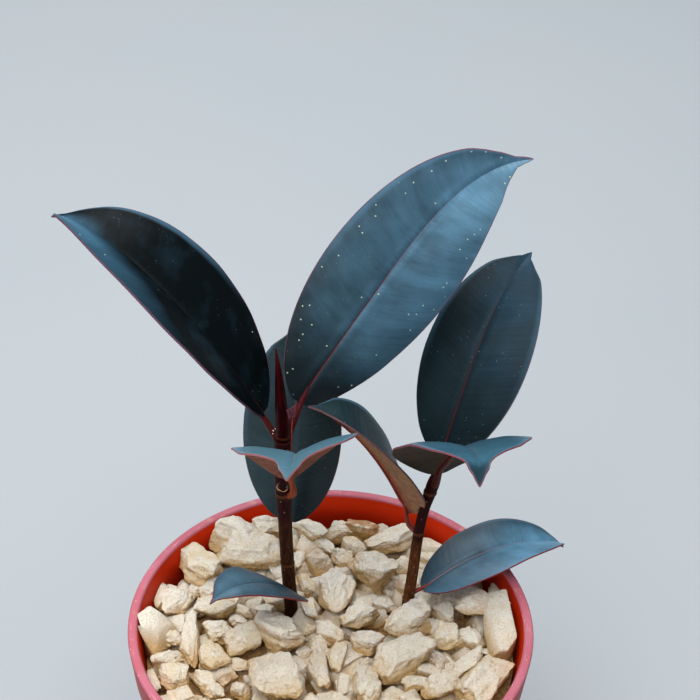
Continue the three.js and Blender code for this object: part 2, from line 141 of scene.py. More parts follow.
def tube(name, knots, steps, sides, relief=None):
    # a closed tube through knots of x, y, z and radius; relief gives the skin's lift at a height and an angle
    path = smoothPath(knots, steps)
    rings = len(path) - 1
    directions = np.gradient(path[:, :3], axis=0)
    directions /= np.linalg.norm(directions, axis=1)[:, None]
    side = np.array([1, 0.13, 0])
    sideways = []
    for along in directions:
        side = side - along * side.dot(along)
        side = side / np.linalg.norm(side)
        sideways.append(side)
    sideways = np.array(sideways)
    across = np.cross(directions, sideways)
    lengths = np.concatenate([[0], np.cumsum(np.linalg.norm(np.diff(path[:, :3], axis=0), axis=1))])
    rod, around, along = shapedGrid(rings, sides)
    ring = np.rint(along * rings).astype(int)
    angle = (around + 1) * math.pi
    radius = path[ring, 3] + (relief(path[ring, 2], angle) if relief else 0)
    outwards = sideways[ring] * np.cos(angle)[:, None] + across[ring] * np.sin(angle)[:, None]
    setPoints(rod, (path[ring, :3] + radius[:, None] * outwards) * mm)
    addMap(rod, "bladeMap", np.stack([lengths[ring], angle * path[ring, 3]], axis=1) / 100)
    addMap(rod, "shareMap", np.stack([around * 0.5 + 0.5, along], axis=1))
    edit(rod)
    bpy.ops.mesh.select_all(action="SELECT")
    bpy.ops.mesh.remove_doubles(threshold=0.002 * mm)
    bpy.ops.mesh.select_all(action="DESELECT")
    bpy.ops.mesh.select_non_manifold()
    bpy.ops.mesh.fill_holes(sides=0)
    bpy.ops.mesh.select_all(action="SELECT")
    bpy.ops.mesh.normals_make_consistent(inside=False)
    selectOnly(rod)
    rod.name = name
    return rod


def finishPiece(piece, slot, *nodes, material=None, angle=40):
    selectOnly(piece)
    if material:
        piece.data.materials.append(material)
    bpy.ops.object.shade_smooth_by_angle(angle=math.radians(angle))
    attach(piece, "root")
    if nodes:
        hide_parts(*nodes)


# materials

# a socket that Python's operators work on: each adds the Math node that it needs
class Wire:
    def __init__(self, finish, socket):
        self.finish = finish
        self.socket = socket

    def __add__(self, other):
        return self.finish.maths("ADD", self, other)

    def __sub__(self, other):
        return self.finish.maths("SUBTRACT", self, other)

    def __rsub__(self, other):
        return self.finish.maths("SUBTRACT", other, self)

    def __mul__(self, other):
        return self.finish.maths("MULTIPLY", self, other)

    def __pow__(self, other):
        return self.finish.maths("POWER", self, other)

    def __abs__(self):
        return self.finish.maths("ABSOLUTE", self)

    __radd__ = __add__
    __rmul__ = __mul__

    def rise(self, low, high):
        # 0 below low and 1 above high, smooth between them
        return self.finish.node("MapRange", {"interpolation_type": "SMOOTHSTEP"}, {0: self, 1: low, 2: high})

    def fall(self, low, high):
        return 1 - self.rise(low, high)


# a material or a world: its node tree and the colour that it has so far
class Finish:
    def __init__(self, name, kind="materials", shader="Principled BSDF"):
        self.owner = getattr(bpy.data, kind).new(name)
        self.owner.use_nodes = True
        self.tree = self.owner.node_tree
        self.shader = self.tree.nodes[shader]

    def node(self, kind, settings, inputs, output=0):
        added = self.tree.nodes.new("ShaderNode" + kind)
        for name, value in settings.items():
            setattr(added, name, value)
        for name, value in inputs.items():
            self.feed(added.inputs[name], value)
        return Wire(self, added.outputs[output])

    def feed(self, socket, value):
        if isinstance(value, Wire):
            self.tree.links.new(value.socket, socket)
        elif socket.type == "RGBA":
            socket.default_value = (*value, 1)
        else:
            socket.default_value = value

    def maths(self, operation, *values):
        return self.node("Math", {"operation": operation}, dict(enumerate(values)))

    def blend(self, share, first, second):
        return self.node("Mix", {"data_type": "RGBA"}, {0: share, 6: first, 7: second}, output=2)

    def base(self, share, first, second):
        # the first colour, which each coat then covers by its share
        self.colour = self.blend(share, first, second)

    def coat(self, share, colour):
        self.colour = self.blend(share, self.colour, colour)

    def place(self):
        return self.node("TexCoord", {}, {}, output="Object")

    def split(self, vector):
        parts = self.node("SeparateXYZ", {}, {0: vector}).socket.node
        return [Wire(self, parts.outputs[axis]) for axis in range(3)]

    def vector(self, x, y, z=0.0):
        return self.node("CombineXYZ", {}, {0: x, 1: y, 2: z})

    def uv(self, name):
        return self.split(self.node("UVMap", {"uv_map": name}, {}))[:2]

    def noise(self, vector, size, detail=3.0, roughness=0.55):
        # size is the pattern's grain in the vector's own unit
        inputs = {"Vector": vector, "Scale": 1 / size, "Detail": detail, "Roughness": roughness}
        return self.node("TexNoise", {}, inputs)

    def cells(self, vector, size, output="Distance", dimensions="3D"):
        inputs = {"Vector": vector, "Scale": 1 / size}
        return self.node("TexVoronoi", {"voronoi_dimensions": dimensions}, inputs, output)

    def tag(self, name):
        return self.node("Attribute", {"attribute_name": name}, {}, output="Fac")

    def wear(self, roughness, height=None, depth=0.0, **fixed):
        # depth is how far, in millimetres, a height of 1 stands out
        self.feed(self.shader.inputs["Base Color"], self.colour)
        self.feed(self.shader.inputs["Roughness"], roughness)
        if height is not None:
            relief = self.node("Bump", {}, {"Strength": 1.0, "Distance": depth * mm, "Height": height})
            self.feed(self.shader.inputs["Normal"], relief)
        for name, value in fixed.items():
            self.feed(self.shader.inputs[name.replace("_", " ")], value)
        return self.owner


# camera, light and floor

view = {"place": (0, -369.85, 454.72), "turn": (53.19, -1.43, 0.65), "lens": 102.1}
softLights = {
    "overhead": {"place": (-130, -290, 1110), "size": 1250, "power": 22, "colour": (1.0, 0.97, 0.92),
                 "aim": (0, 0, 90)},
    "window": {"place": (-100, 680, 880), "size": 700, "power": 5.5, "colour": (1.0, 0.97, 0.93),
               "aim": (0, 15, 90)},
    "reflector": {"place": (-900, -1350, 330), "size": 620, "power": 6, "colour": (0.76, 0.90, 1.0),
                  "aim": (10, 20, 180)},
}
sky = {"top": (0.40, 0.46, 0.52), "level": (0.15, 0.20, 0.26), "strength": 1.0}
floorLook = {"size": 8000, "light": (0.33, 0.355, 0.38), "dark": (0.29, 0.32, 0.35), "patch": 240}


def addCamera():
    turn = [math.radians(angle) for angle in view["turn"]]
    bpy.ops.object.camera_add(location=Vector(view["place"]) * mm, rotation=turn)
    camera = bpy.context.object
    camera.data.lens = view["lens"]
    camera.data.sensor_width = 36
    camera.data.clip_start = 0.01
    scene.camera = camera


def addLights():
    for name, light in softLights.items():
        place = Vector(light["place"])
        facing = (Vector(light["aim"]) - place).to_track_quat("-Z", "Y")
        bpy.ops.object.light_add(type="AREA", location=place * mm, rotation=facing.to_euler())
        lamp = bpy.context.object
        lamp.name = name
        lamp.data.shape = "DISK"
        lamp.data.size = light["size"] * mm
        lamp.data.energy = light["power"]
        lamp.data.color = light["colour"]
    studio = Finish("soft studio", "worlds", "Background")
    height = studio.split(studio.node("TexCoord", {}, {}, output="Generated"))[2]
    studio.feed(studio.shader.inputs["Color"], studio.blend(height, sky["level"], sky["top"]))
    studio.feed(studio.shader.inputs["Strength"], sky["strength"])
    scene.world = studio.owner
    scene.view_settings.view_transform = "Standard"


def addFloor():
    ground = newPiece(bpy.ops.mesh.primitive_plane_add, size=floorLook["size"] * mm)
    ground.name = "floor"
    finish = Finish("pale floor")
    share = finish.noise(finish.place(), floorLook["patch"] * mm, 2)
    finish.base(share, floorLook["light"], floorLook["dark"])
    ground.data.materials.append(finish.wear(0.7))


addCamera()
addLights()
addFloor()
print("camera, light and floor are set")


# pot: a turned shell with a rounded rim, a banded collar and drain holes

pot = {
    "height": 90, "rimRadius": 52.5, "rimWidth": 2.5, "rimBand": 11, "rimRound": 0.7, "bandStep": 1.8,
    "wall": 1.4, "floor": 2, "floorRadius": 35.2, "footRound": 1, "sides": 160,
    "drainHoles": 6, "drainRadius": 3.5, "drainCircle": 23, "recess": 0.6, "recessRadius": 31,
}


def innerWall(height):
    # radius of the pot's inner wall at a height
    share = (height - pot["floor"]) / (pot["height"] - pot["floor"])
    return pot["floorRadius"] + (pot["rimRadius"] - pot["rimWidth"] - pot["floorRadius"]) * share


def arc(centre, radius, start, end, steps):
    # points of a quarter round in radius and height
    angles = [math.radians(start + (end - start) * step / steps) for step in range(steps + 1)]
    return [(centre[0] + radius * math.cos(a), centre[1] + radius * math.sin(a)) for a in angles]


def potProfile():
    top = pot["height"]
    bandFoot = top - pot["rimBand"]
    foot = pot["floorRadius"] + pot["wall"]
    shoulder = innerWall(bandFoot) + pot["wall"]
    soft = pot["rimRound"]
    inside = pot["rimRadius"] - pot["rimWidth"]
    band = shoulder + pot["bandStep"]
    lean = (pot["rimRadius"] - band) / (pot["rimBand"] - soft)
    return [
        (0, pot["recess"]), (pot["recessRadius"], pot["recess"]), (pot["recessRadius"] + pot["recess"], 0),
        *arc((foot - pot["footRound"], pot["footRound"]), pot["footRound"], -90, 0, 5),
        (shoulder - 0.5, bandFoot - 3), (shoulder, bandFoot - 0.6), (shoulder + 0.35, bandFoot),
        *arc((band - 0.5, bandFoot + 0.5), 0.5, -90, 0, 3),
        (band + lean * 5, bandFoot + 5.5),
        *arc((pot["rimRadius"] - soft, top - soft), soft, 0, 90, 5),
        *arc((inside + soft, top - soft), soft, 90, 180, 5),
        (innerWall(top - 4), top - 4), (innerWall(70), 70), (innerWall(40), 40),
        (pot["floorRadius"] + 0.4, pot["floor"] + 1), (pot["floorRadius"] - 0.8, pot["floor"]),
        (0, pot["floor"]),
    ]


def makePot():
    profile = potProfile()
    start = (profile[0][0] * mm, 0, profile[0][1] * mm)
    shell = newPiece(bpy.ops.mesh.primitive_plane_add, size=mm, location=start)
    edit(shell)
    bpy.ops.mesh.select_all(action="SELECT")
    bpy.ops.mesh.merge(type="CENTER")
    for (radius, height), (nextRadius, nextHeight) in zip(profile, profile[1:]):
        step = ((nextRadius - radius) * mm, 0, (nextHeight - height) * mm)
        bpy.ops.mesh.extrude_region_move(TRANSFORM_OT_translate={"value": step})
    bpy.ops.mesh.select_all(action="SELECT")
    bpy.ops.mesh.spin(steps=pot["sides"], angle=2 * math.pi, center=(0, 0, 0), axis=(0, 0, 1))
    weld(0.01 * mm)
    placed(shell)
    drills = []
    for hole in range(pot["drainHoles"]):
        angle = 2 * math.pi * hole / pot["drainHoles"]
        centre = (pot["drainCircle"] * math.cos(angle) * mm, pot["drainCircle"] * math.sin(angle) * mm, 0)
        drills.append(newPiece(bpy.ops.mesh.primitive_cylinder_add, vertices=32, depth=12 * mm,
                               radius=pot["drainRadius"] * mm, location=centre))
    drill = joined("drill", drills)
    placed(drill)
    modify(shell, "BOOLEAN", operation="DIFFERENCE", solver="EXACT", object=drill)
    bpy.data.objects.remove(drill)
    shell.name = "pot_shell"
    finishPiece(shell, "pot_plastic", "pot", material=potPlastic(), angle=35)


# deep is the inner wall's painted shade low in the pot; rim is the rim top's dust with a painted sky
# reflection
plastic = {
    "wall": (0.58, 0.025, 0.001), "deep": (0.24, 0.008, 0.001), "outside": (0.34, 0.048, 0.047),
    "rim": (0.405, 0.118, 0.165), "speck": (0.80, 0.66, 0.64), "dust": (0.50, 0.36, 0.28),
}


def potPlastic():
    finish = Finish("pot plastic")
    place = finish.place()
    x, y, z = finish.split(place)
    radius = (x * x + y * y) ** 0.5
    turn = finish.maths("ARCTAN2", y, x)
    cloud = finish.noise(place, 14 * mm, 4)
    fine = finish.noise(place, 0.5 * mm, 3)
    inner, top = pot["rimRadius"] - pot["rimWidth"], pot["height"]
    inside = radius.fall((inner + 0.1) * mm, (inner + 0.4) * mm)
    # painted shade: the inner wall darkens lower down in the pot
    deep = z.fall((top - 10) * mm, (top - 2) * mm)
    wallColour = finish.blend(deep, plastic["wall"], plastic["deep"])
    finish.base(inside, plastic["outside"], wallColour)
    # dust with a painted sky reflection lightens the rim's top
    onTop = z.rise((top - 0.85) * mm, (top - 0.4) * mm)
    rimDustAndReflection = finish.blend(cloud.rise(0.3, 0.7) * 0.35, plastic["rim"], plastic["outside"])
    finish.coat(onTop, rimDustAndReflection)
    dust = finish.noise(place, 3 * mm, 5).rise(0.52, 0.75) * 0.35
    finish.coat(dust * (1 - inside), plastic["dust"])
    # scratches run round the rim
    streak = finish.noise(finish.vector(turn * 6, radius * 2500, z * 2500), 1.0, 2)
    scratch = streak.rise(0.62, 0.72) * onTop
    finish.coat(scratch * 0.3, plastic["speck"])
    speck = finish.cells(place, 1.7 * mm).fall(0.05, 0.11) * onTop
    finish.coat(speck * 0.7, plastic["speck"])
    roughness = 0.42 + cloud * 0.12 + dust * 0.3
    height = fine * 0.5 + streak * 0.2 + speck
    return finish.wear(roughness, height, 0.05, Specular_IOR_Level=0.12)


makePot()
print("pot is made")


# gravel: a crumbly bed with chips on it, the larger ones where they lie on the real plant

gravel = {
    "seed": 20264, "diceSeed": 7, "bedTop": 83.4, "seatGap": 0.3, "low": 70.3, "spacing": 0.69,
    "sizes": ((9, 13, 160), (6.5, 9, 700), (4.5, 6, 1200)), "lengths": (1.05, 0.6),
    "thicknesses": (0.68, 0.24), "drops": {"large": (0, 0.3), "middle": (0.5, 1.9), "small": (1.4, 3.0)},
    "mostTilt": 7, "leaningTilt": -30, "lean": 10, "sink": 0.28, "shrink": 0.93, "wallGap": 0.25,
    "slide": 0.4, "leaningSlide": 0.85, "backFrom": 5, "stemFeet": ((-10.9, 13.2), (20.1, 12.8)),
    "crumbTop": 79.4, "crumbRelief": 1.1, "crumbSize": 3, "rings": 24,
}
lowerChips = {
    "count": 330, "widths": (4.5, 7.5), "longest": 1.5, "mostTilt": 25, "drops": (3.4, 5.8), "stemGap": 2,
}
# how coarse and how strong each crumbling of a stone is, and what its seed is moved by
crumbling = ((0.9, 0.34, 0), (0.38, 0.19, 3), (0.17, 0.11, 7))
# x, y, length, width, turn and lift of the far end
landmarkChips = [
    (-46.8, -0.7, 15, 9, -40, -42), (-42, -0.5, 10, 6, -65, 4), (-46.2, 14.5, 10, 4.5, 78, 0),
    (-41, 11.5, 12, 8, 60, 6), (-38, 25.5, 14, 11, -35, 0), (-30, 38, 13, 11, -30, 0),
    (-23, 29, 19, 14, -20, 0), (-18, 41, 10, 8, 10, 0), (-31, 9.5, 13, 8, 10, 0),
    (-36.4, -2, 19, 5.5, 88, 3), (-29.5, 1.5, 9, 8.5, 0, 0), (-42, -9.5, 9, 6, 35, 0),
    (-39.5, -16.5, 9, 8, 0, 0), (-22, -2, 13, 9, 25, 0), (-13.5, -1, 14, 11, -70, 4),
    (-30, -8.5, 10, 8, -30, 0), (-14.5, -16.5, 18, 13, -60, 0), (-3, -11, 15, 6, -75, 0),
    (-3.8, 28.5, 10, 8, -40, 0), (-6.5, 41, 10, 7, -10, 0), (1, 16, 17, 10, 75, 0),
    (11, 24.5, 14, 12, 0, 0), (7.5, 7.8, 12, 9, 15, 3), (9, -1.2, 9, 8, -45, 0),
    (9.5, -17.5, 14, 8, 80, 0), (18, -8, 18, 11, 50, 4), (19.5, 4.5, 13, 9, 20, 0),
    (30, 0.5, 10, 8, 30, 0), (39.2, 12, 15, 8, 5, 0), (45, 1.5, 15, 6, -82, 0),
    (40, -14, 19, 12, 50, 0), (28.5, -16.5, 11, 9, 0, 0), (16, 37, 15, 9, 35, 0),
    (7, 42.5, 13, 7, -25, 0),
]
# x, y, length, width and turn
smallerChips = [
    (-44, 18.5, 5, 4, 0), (-36.5, 18, 7, 4, 70), (-33, 18, 9, 6, 80), (-40.5, 3, 6, 4, -50),
    (-39.5, 6.5, 4, 3, 0), (-24.5, 6, 5.5, 5, 0), (-45.5, -15.5, 10, 3.5, -75), (-41, -22.5, 7, 5, 0),
    (-8, 4, 9, 6, -30), (-24, -9, 9, 5, -25), (-26, -14, 7, 4, 40), (-32, -15.5, 8, 5, -50),
    (-29, -19.5, 6, 5, 0), (-22.5, -18.5, 6, 5, 0), (-36, -24.5, 9, 4, 0), (-25, -23.5, 8, 5, 0),
    (-9.5, -11.5, 8, 6, 0), (-6.5, -4.5, 7, 4, 60), (-8, -16.5, 9, 4, 90), (-4, -21.5, 6, 5, 0),
    (-5.5, 11, 8, 4.5, -70), (-7, 21, 10, 5, -80), (-9, 31, 9, 5, 70), (-2.5, 36.5, 8, 4, -50),
    (-17.5, 10.5, 6, 4, -20), (-23, 10, 6, 4, -30), (-17, 35.5, 7, 6, 0), (14.5, 13.5, 8, 5, -10),
    (1.5, -6, 12, 6, 75), (0, 2.5, 10, 6, -10), (7, -11, 9, 5.5, 65), (37, 1.5, 8, 6.5, -50),
    (30, 10.5, 9, 6, -60), (44.5, 17.5, 9, 5, 90), (36, 16, 10, 3.5, 5), (36, -6.5, 13, 6, 50),
    (28, -6.5, 8, 5, -30), (22, -14.5, 8, 4.5, 20), (21, -20.5, 6, 5, 0), (15.5, -18.5, 7, 5, 30),
    (2, -20.5, 6, 6, 0), (20, 29.5, 9, 7, 0), (2, 41.5, 9, 7, 0), (2.5, 30.5, 8, 6, -50),
    (20, 20, 8, 6, 0), (26, 31.5, 8, 5, 0), (42, -2.5, 6, 4, 0),
]
# x, y, what marks the chip there and how strongly
markedChips = [
    (7.7, 36, "stain", 1), (-26, -14, "stain", 0.8), (-3.8, 28.5, "stain", 0.4), (28, -6.5, "stain", 0.5),
    (20, 20, "stain", 0.5), (39.2, 12, "stain", 0.35), (9, -1.2, "grey", 0.6), (23.5, -9, "grey", 1),
    (-34.5, -20.5, "grey", 1), (-3, -11, "grey", 0.35), (14.5, 13.5, "grey", 0.5),
]
# numbers of the listed chips that press against the wall and have a plainer stone, and which
plainChips = {0: 2, 29: 7}
# numbers of listed chips whose shape shows more: shift in x and y, growth in length and width, and lift
grownChips = {
    0: (0.8, 0, 0.85, 1.15, 0.3), 4: (0, 0, 1.12, 1.12, 0.3), 5: (0.6, 0.4, 1.35, 1.3, 1.4),
    6: (-0.6, 0.4, 1.14, 1.12, 0.5), 7: (0, 0, 1.1, 1.1, 0.8), 14: (0, 0, 1.06, 1.1, 0.8),
    16: (0, 0, 1.05, 1.1, 0.8), 19: (0, 0, 1.1, 1.1, 0.6), 20: (0, 0, 1.05, 1.1, 0.4),
    21: (0, 0, 1.05, 1.08, 0.5), 24: (0, 0, 1.1, 1.1, 0.6), 25: (0, 0, 1.06, 1.1, 0.8),
    26: (0.5, 0, 1.1, 1.2, 0.6), 28: (0.8, -1.0, 1.12, 1.15, 2.2), 29: (-1.3, 2.6, 1.42, 1.4, 0.9),
    30: (0, 0, 1.08, 1.08, 0.4),
}


def parkMiller(seed):
    # the same random numbers in every run, and the same as the solid chips have
    state = seed
    while True:
        state = state * 16807 % 2147483647
        yield state / 2147483647


def planDiscs(chip):
    x, y, length, width, turn = chip[:5]
    reach = (length - width) / 2
    angle = math.radians(turn)
    ends = [(end * reach * math.cos(angle), end * reach * math.sin(angle)) for end in (-1, 0, 1)]
    return [(x + across, y + along, width / 2) for across, along in ends]


def placeChips():
    # the chips listed above, then smaller and smaller ones wherever they fit
    draws = parkMiller(gravel["seed"])
    chips = landmarkChips + [(*chip, 0) for chip in smallerChips]
    taken = [disc for chip in chips for disc in planDiscs(chip)]
    for small, large, tries in gravel["sizes"]:
        for attempt in range(tries):
            width = small + (large - small) * next(draws)
            length = width * (gravel["lengths"][0] + gravel["lengths"][1] * next(draws))
            radius = (innerWall(gravel["bedTop"]) - width / 2) * math.sqrt(next(draws))
            angle = 2 * math.pi * next(draws)
            turn = 360 * next(draws)
            tilt = gravel["mostTilt"] * (2 * next(draws) - 1)
            chip = (radius * math.cos(angle), radius * math.sin(angle), length, width, turn, tilt)
            discs = planDiscs(chip)
            if all(math.hypot(x - otherX, y - otherY) > gravel["spacing"] * (reach + other)
                   for x, y, reach in discs for otherX, otherY, other in taken):
                chips.append(chip)
                taken += discs
    return chips


def crushedStone(seed, cuts, grain=None):
    # a block cut to facets by random planes, then bevelled, and crumbled if it has a grain
    dice = random.Random(seed)
    stone = newPiece(bpy.ops.mesh.primitive_cube_add, size=2)
    edit(stone)
    for cut in range(cuts):
        tilt = math.asin(dice.uniform(-0.95, 0.95))
        turn = 2 * math.pi * (cut + dice.random()) / cuts * 2.4
        normal = Vector((math.cos(tilt) * math.cos(turn), math.cos(tilt) * math.sin(turn), math.sin(tilt)))
        bpy.ops.mesh.select_all(action="SELECT")
        bpy.ops.mesh.bisect(plane_co=normal * dice.uniform(0.66, 0.98), plane_no=normal, use_fill=True,
                            clear_outer=True)
    weld(0.05)
    selectOnly(stone)
    width, segments, sharp = (0.05, 2, 12) if grain else (0.07, 1, 25)
    modify(stone, "BEVEL", width=width, segments=segments, limit_method="ANGLE",
           angle_limit=math.radians(sharp))
    if grain:
        modify(stone, "REMESH", mode="VOXEL", voxel_size=grain)
        for size, strength, shift in crumbling:
            crumble(stone, size, strength, seed + shift)
    shape = points(stone)
    low, high = shape.min(axis=0), shape.max(axis=0)
    setPoints(stone, (shape - (low + high) / 2) / ((high - low) / 2))
    return stone


def crumble(stone, size, strength, seed):
    pattern = bpy.data.textures.new("crumble", "CLOUDS")
    pattern.noise_scale = size
    anchor = newPiece(bpy.ops.object.empty_add, location=(seed * 3.7, seed * 1.3, 0))
    modify(stone, "DISPLACE", texture=pattern, strength=strength, mid_level=0.5, texture_coords="OBJECT",
           texture_coords_object=anchor)
    bpy.data.objects.remove(anchor)


def layChip(mother, chip, dice, low, marks):
    # a copy of a mother stone, scaled and turned to its place, with its own tone
    x, y, length, width, turn, tilt = chip
    thickness = width * (gravel["thicknesses"][0] + gravel["thicknesses"][1] * dice.random())
    copy = mother.copy()
    copy.data = mother.data.copy()
    scene.collection.objects.link(copy)
    roll = Matrix.Rotation(dice.choice((0, 0.5, 1, 1.5)) * math.pi, 4, "X")
    flip = Matrix.Rotation(dice.choice((0, 1)) * math.pi, 4, "Z")
    scale = gravel["shrink"] * mm / 2
    size = Matrix.Diagonal((length * scale, width * scale, thickness * scale, 1))
    lean = Matrix.Rotation(math.radians(-tilt), 4, "Y")
    heading = Matrix.Rotation(math.radians(turn), 4, "Z")
    copy.data.transform(heading @ lean @ size @ roll @ flip)
    shape = points(copy)
    bottom, top = shape[:, 2].min(), shape[:, 2].max()
    seat = low * mm - bottom - gravel["sink"] * (top - bottom)
    setPoints(copy, shape + np.array([x * mm, y * mm, seat]))
    keepInPot(copy, tilt < gravel["leaningTilt"])
    count = len(copy.data.vertices)
    tags = {"tone": np.full(count, dice.random()), "stain": np.zeros(count), "grey": np.zeros(count)}
    facing = np.empty(count * 3)
    copy.data.vertices.foreach_get("normal", facing)
    # a tag that is low at the foot and on the steep sides, where painted shade goes
    tags["level"] = (shape[:, 2] - bottom) / (top - bottom) * 0.6 + (facing[2::3] + 1) * 0.2
    for mark, strength in marks:
        tags[mark] += strength
    for name, values in tags.items():
        layer = copy.data.attributes.new(name, "FLOAT", "POINT")
        layer.data.foreach_set("value", values)
    return copy


def keepInPot(piece, leaning):
    # chips slide in from the wall and press flat against it, and the one that leans out rests on the rim
    shape = points(piece) / mm
    reach = np.hypot(shape[:, 0], shape[:, 1])
    wall = innerWall(np.minimum(shape[:, 2], pot["height"])) - gravel["wallGap"]
    free = np.full(len(shape), True)
    if leaning:
        free = (reach > wall) & (shape[:, 2] > pot["height"] - 2)
        shape[free, 2] = np.maximum(shape[free, 2], pot["height"] + 0.1)
        wall = np.where(free, pot["rimRadius"] - pot["rimWidth"] / 4, wall)
    over = max(0, (reach - wall)[free].max()) if free.any() else 0
    middle = shape[:, :2].mean(axis=0)
    slide = gravel["leaningSlide" if leaning else "slide"]
    shape[:, :2] -= middle / np.linalg.norm(middle) * over * slide
    reach = np.hypot(shape[:, 0], shape[:, 1])
    beyond = reach > wall
    shape[beyond, :2] *= (wall / np.maximum(reach, 1))[beyond, None]
    setPoints(piece, shape * mm)


def makeBed():
    # crumbs between and under the chips
    radius = innerWall(gravel["crumbTop"]) - gravel["seatGap"]
    depth = gravel["crumbTop"] - gravel["low"]
    middle = (0, 0, (gravel["low"] + depth / 2) * mm)
    bed = newPiece(bpy.ops.mesh.primitive_cylinder_add, vertices=96, radius=radius * mm, depth=depth * mm,
                   location=middle)
    placed(bed)
    lowest = points(bed)[:, 2].min()
    edit(bed, "FACE")
    bpy.ops.mesh.select_all(action="DESELECT")
    bpy.ops.object.mode_set(mode="OBJECT")
    for face in bed.data.polygons:
        face.select = face.normal.z > 0.9
    bpy.ops.object.mode_set(mode="EDIT")
    for ring in range(gravel["rings"]):
        bpy.ops.mesh.inset(thickness=radius / (gravel["rings"] + 1) * mm)
    bpy.ops.object.mode_set(mode="OBJECT")
    shape = points(bed)
    reach = np.hypot(shape[:, 0], shape[:, 1])
    bottom = shape[:, 2] < lowest + 0.1 * mm
    lowRadius = (innerWall(gravel["low"]) - gravel["seatGap"]) * mm
    shape[bottom, :2] *= (lowRadius / reach[bottom])[:, None]
    setPoints(bed, shape)
    pattern = bpy.data.textures.new("crumbs", "STUCCI")
    pattern.noise_scale = gravel["crumbSize"] * mm
    top = bed.vertex_groups.new(name="top")
    raised = (shape[:, 2] > lowest + mm) & (reach < (radius - 1) * mm)
    top.add(np.flatnonzero(raised).tolist(), 1, "REPLACE")
    modify(bed, "DISPLACE", texture=pattern, strength=gravel["crumbRelief"] * mm, mid_level=0.5,
           direction="Z", texture_coords="LOCAL", vertex_group="top")
    bed.name = "gravel_bed"
    finishPiece(bed, "stone_chips", "gravel", material=crumbs())


def makeStones():
    # mother stones for each kind of chip
    stones = {kind: [crushedStone(seed, 9 + seed % 5, grain) for seed in range(10)]
              for kind, grain in (("large", 0.062), ("middle", 0.078))}
    stones["small"] = [crushedStone(seed + 20, 7 + seed % 3) for seed in range(8)]
    return stones


def chipMarks(chips):
    # what marks the listed chips, by their number
    marks = {}
    for x, y, mark, strength in markedChips:
        distances = [math.hypot(chip[0] - x, chip[1] - y) for chip in chips]
        marks.setdefault(distances.index(min(distances)), []).append((mark, strength))
    return marks


def layTopChips(stones, dice, batches):
    # the large and middle chips that are listed, and small ones between them
    chips = placeChips()
    listed = len(landmarkChips) + len(smallerChips)
    marks = chipMarks(chips[:listed])
    for number, chip in enumerate(chips):
        kind = "small" if number >= listed else "large" if number < len(landmarkChips) else "middle"
        mother = dice.choice(stones[kind])
        drop = dice.uniform(*gravel["drops"][kind])
        name = "chips_" + kind
        if number in plainChips:
            mother = stones["small"][plainChips[number]]
        if kind != "small":
            x, y, length, width, turn, tilt = chip
            across, along, longer, wider, lift = grownChips.get(number, (0, 0, 1, 1, 0))
            lean = dice.uniform(-1, 1) * gravel["lean"] if tilt > gravel["leaningTilt"] else 0
            chip = (x + across, y + along, length * longer, width * wider, turn, tilt + lean)
            drop -= lift
            name += "_back" if chip[1] > gravel["backFrom"] else "_front"
        laid = layChip(mother, chip, dice, gravel["bedTop"] - drop, marks.get(number, []))
        batches.setdefault(name, []).append(laid)


def layLowerChips(stones, dice, batches):
    # small chips in the gaps below the others, clear of the stems
    for number in range(lowerChips["count"]):
        width = dice.uniform(*lowerChips["widths"])
        radius = (innerWall(gravel["bedTop"]) - width / 2) * math.sqrt(dice.random())
        angle = 2 * math.pi * dice.random()
        x, y = radius * math.cos(angle), radius * math.sin(angle)
        length = width * dice.uniform(1, lowerChips["longest"])
        turn = 360 * dice.random()
        tilt = dice.uniform(-lowerChips["mostTilt"], lowerChips["mostTilt"])
        low = gravel["bedTop"] - dice.uniform(*lowerChips["drops"])
        gaps = [math.hypot(x - stemX, y - stemY) for stemX, stemY in gravel["stemFeet"]]
        if min(gaps) > lowerChips["stemGap"]:
            mother = dice.choice(stones["small"])
            laid = layChip(mother, (x, y, length, width, turn, tilt), dice, low, [])
            batches.setdefault("chips_lower", []).append(laid)


def makeChips():
    stones = makeStones()
    dice = random.Random(gravel["diceSeed"])
    batches = {}
    layTopChips(stones, dice, batches)
    layLowerChips(stones, dice, batches)
    stone = stoneChips()
    for name, batch in batches.items():
        angle = 22 if name in ("chips_small", "chips_lower") else 34
        finishPiece(joined(name, batch), "stone_chips", "gravel", material=stone, angle=angle)
    for mother in sum(stones.values(), []):
        bpy.data.objects.remove(mother)


# deep is the painted shade low in the gaps and also the crumbs' lighter colour; front is the painted shade
# towards the front; ochre is the stone's own patches and also the painted shade round each foot
stoneLook = {
    "pale": (0.94, 0.90, 0.81), "cream": (0.88, 0.77, 0.58), "ochre": (0.66, 0.390, 0.115),
    "stain": (0.42, 0.17, 0.05), "grey": (0.52, 0.45, 0.46), "deep": (0.44, 0.235, 0.070),
    "front": (0.66, 0.52, 0.33), "crumb": (0.18, 0.10, 0.040),
}


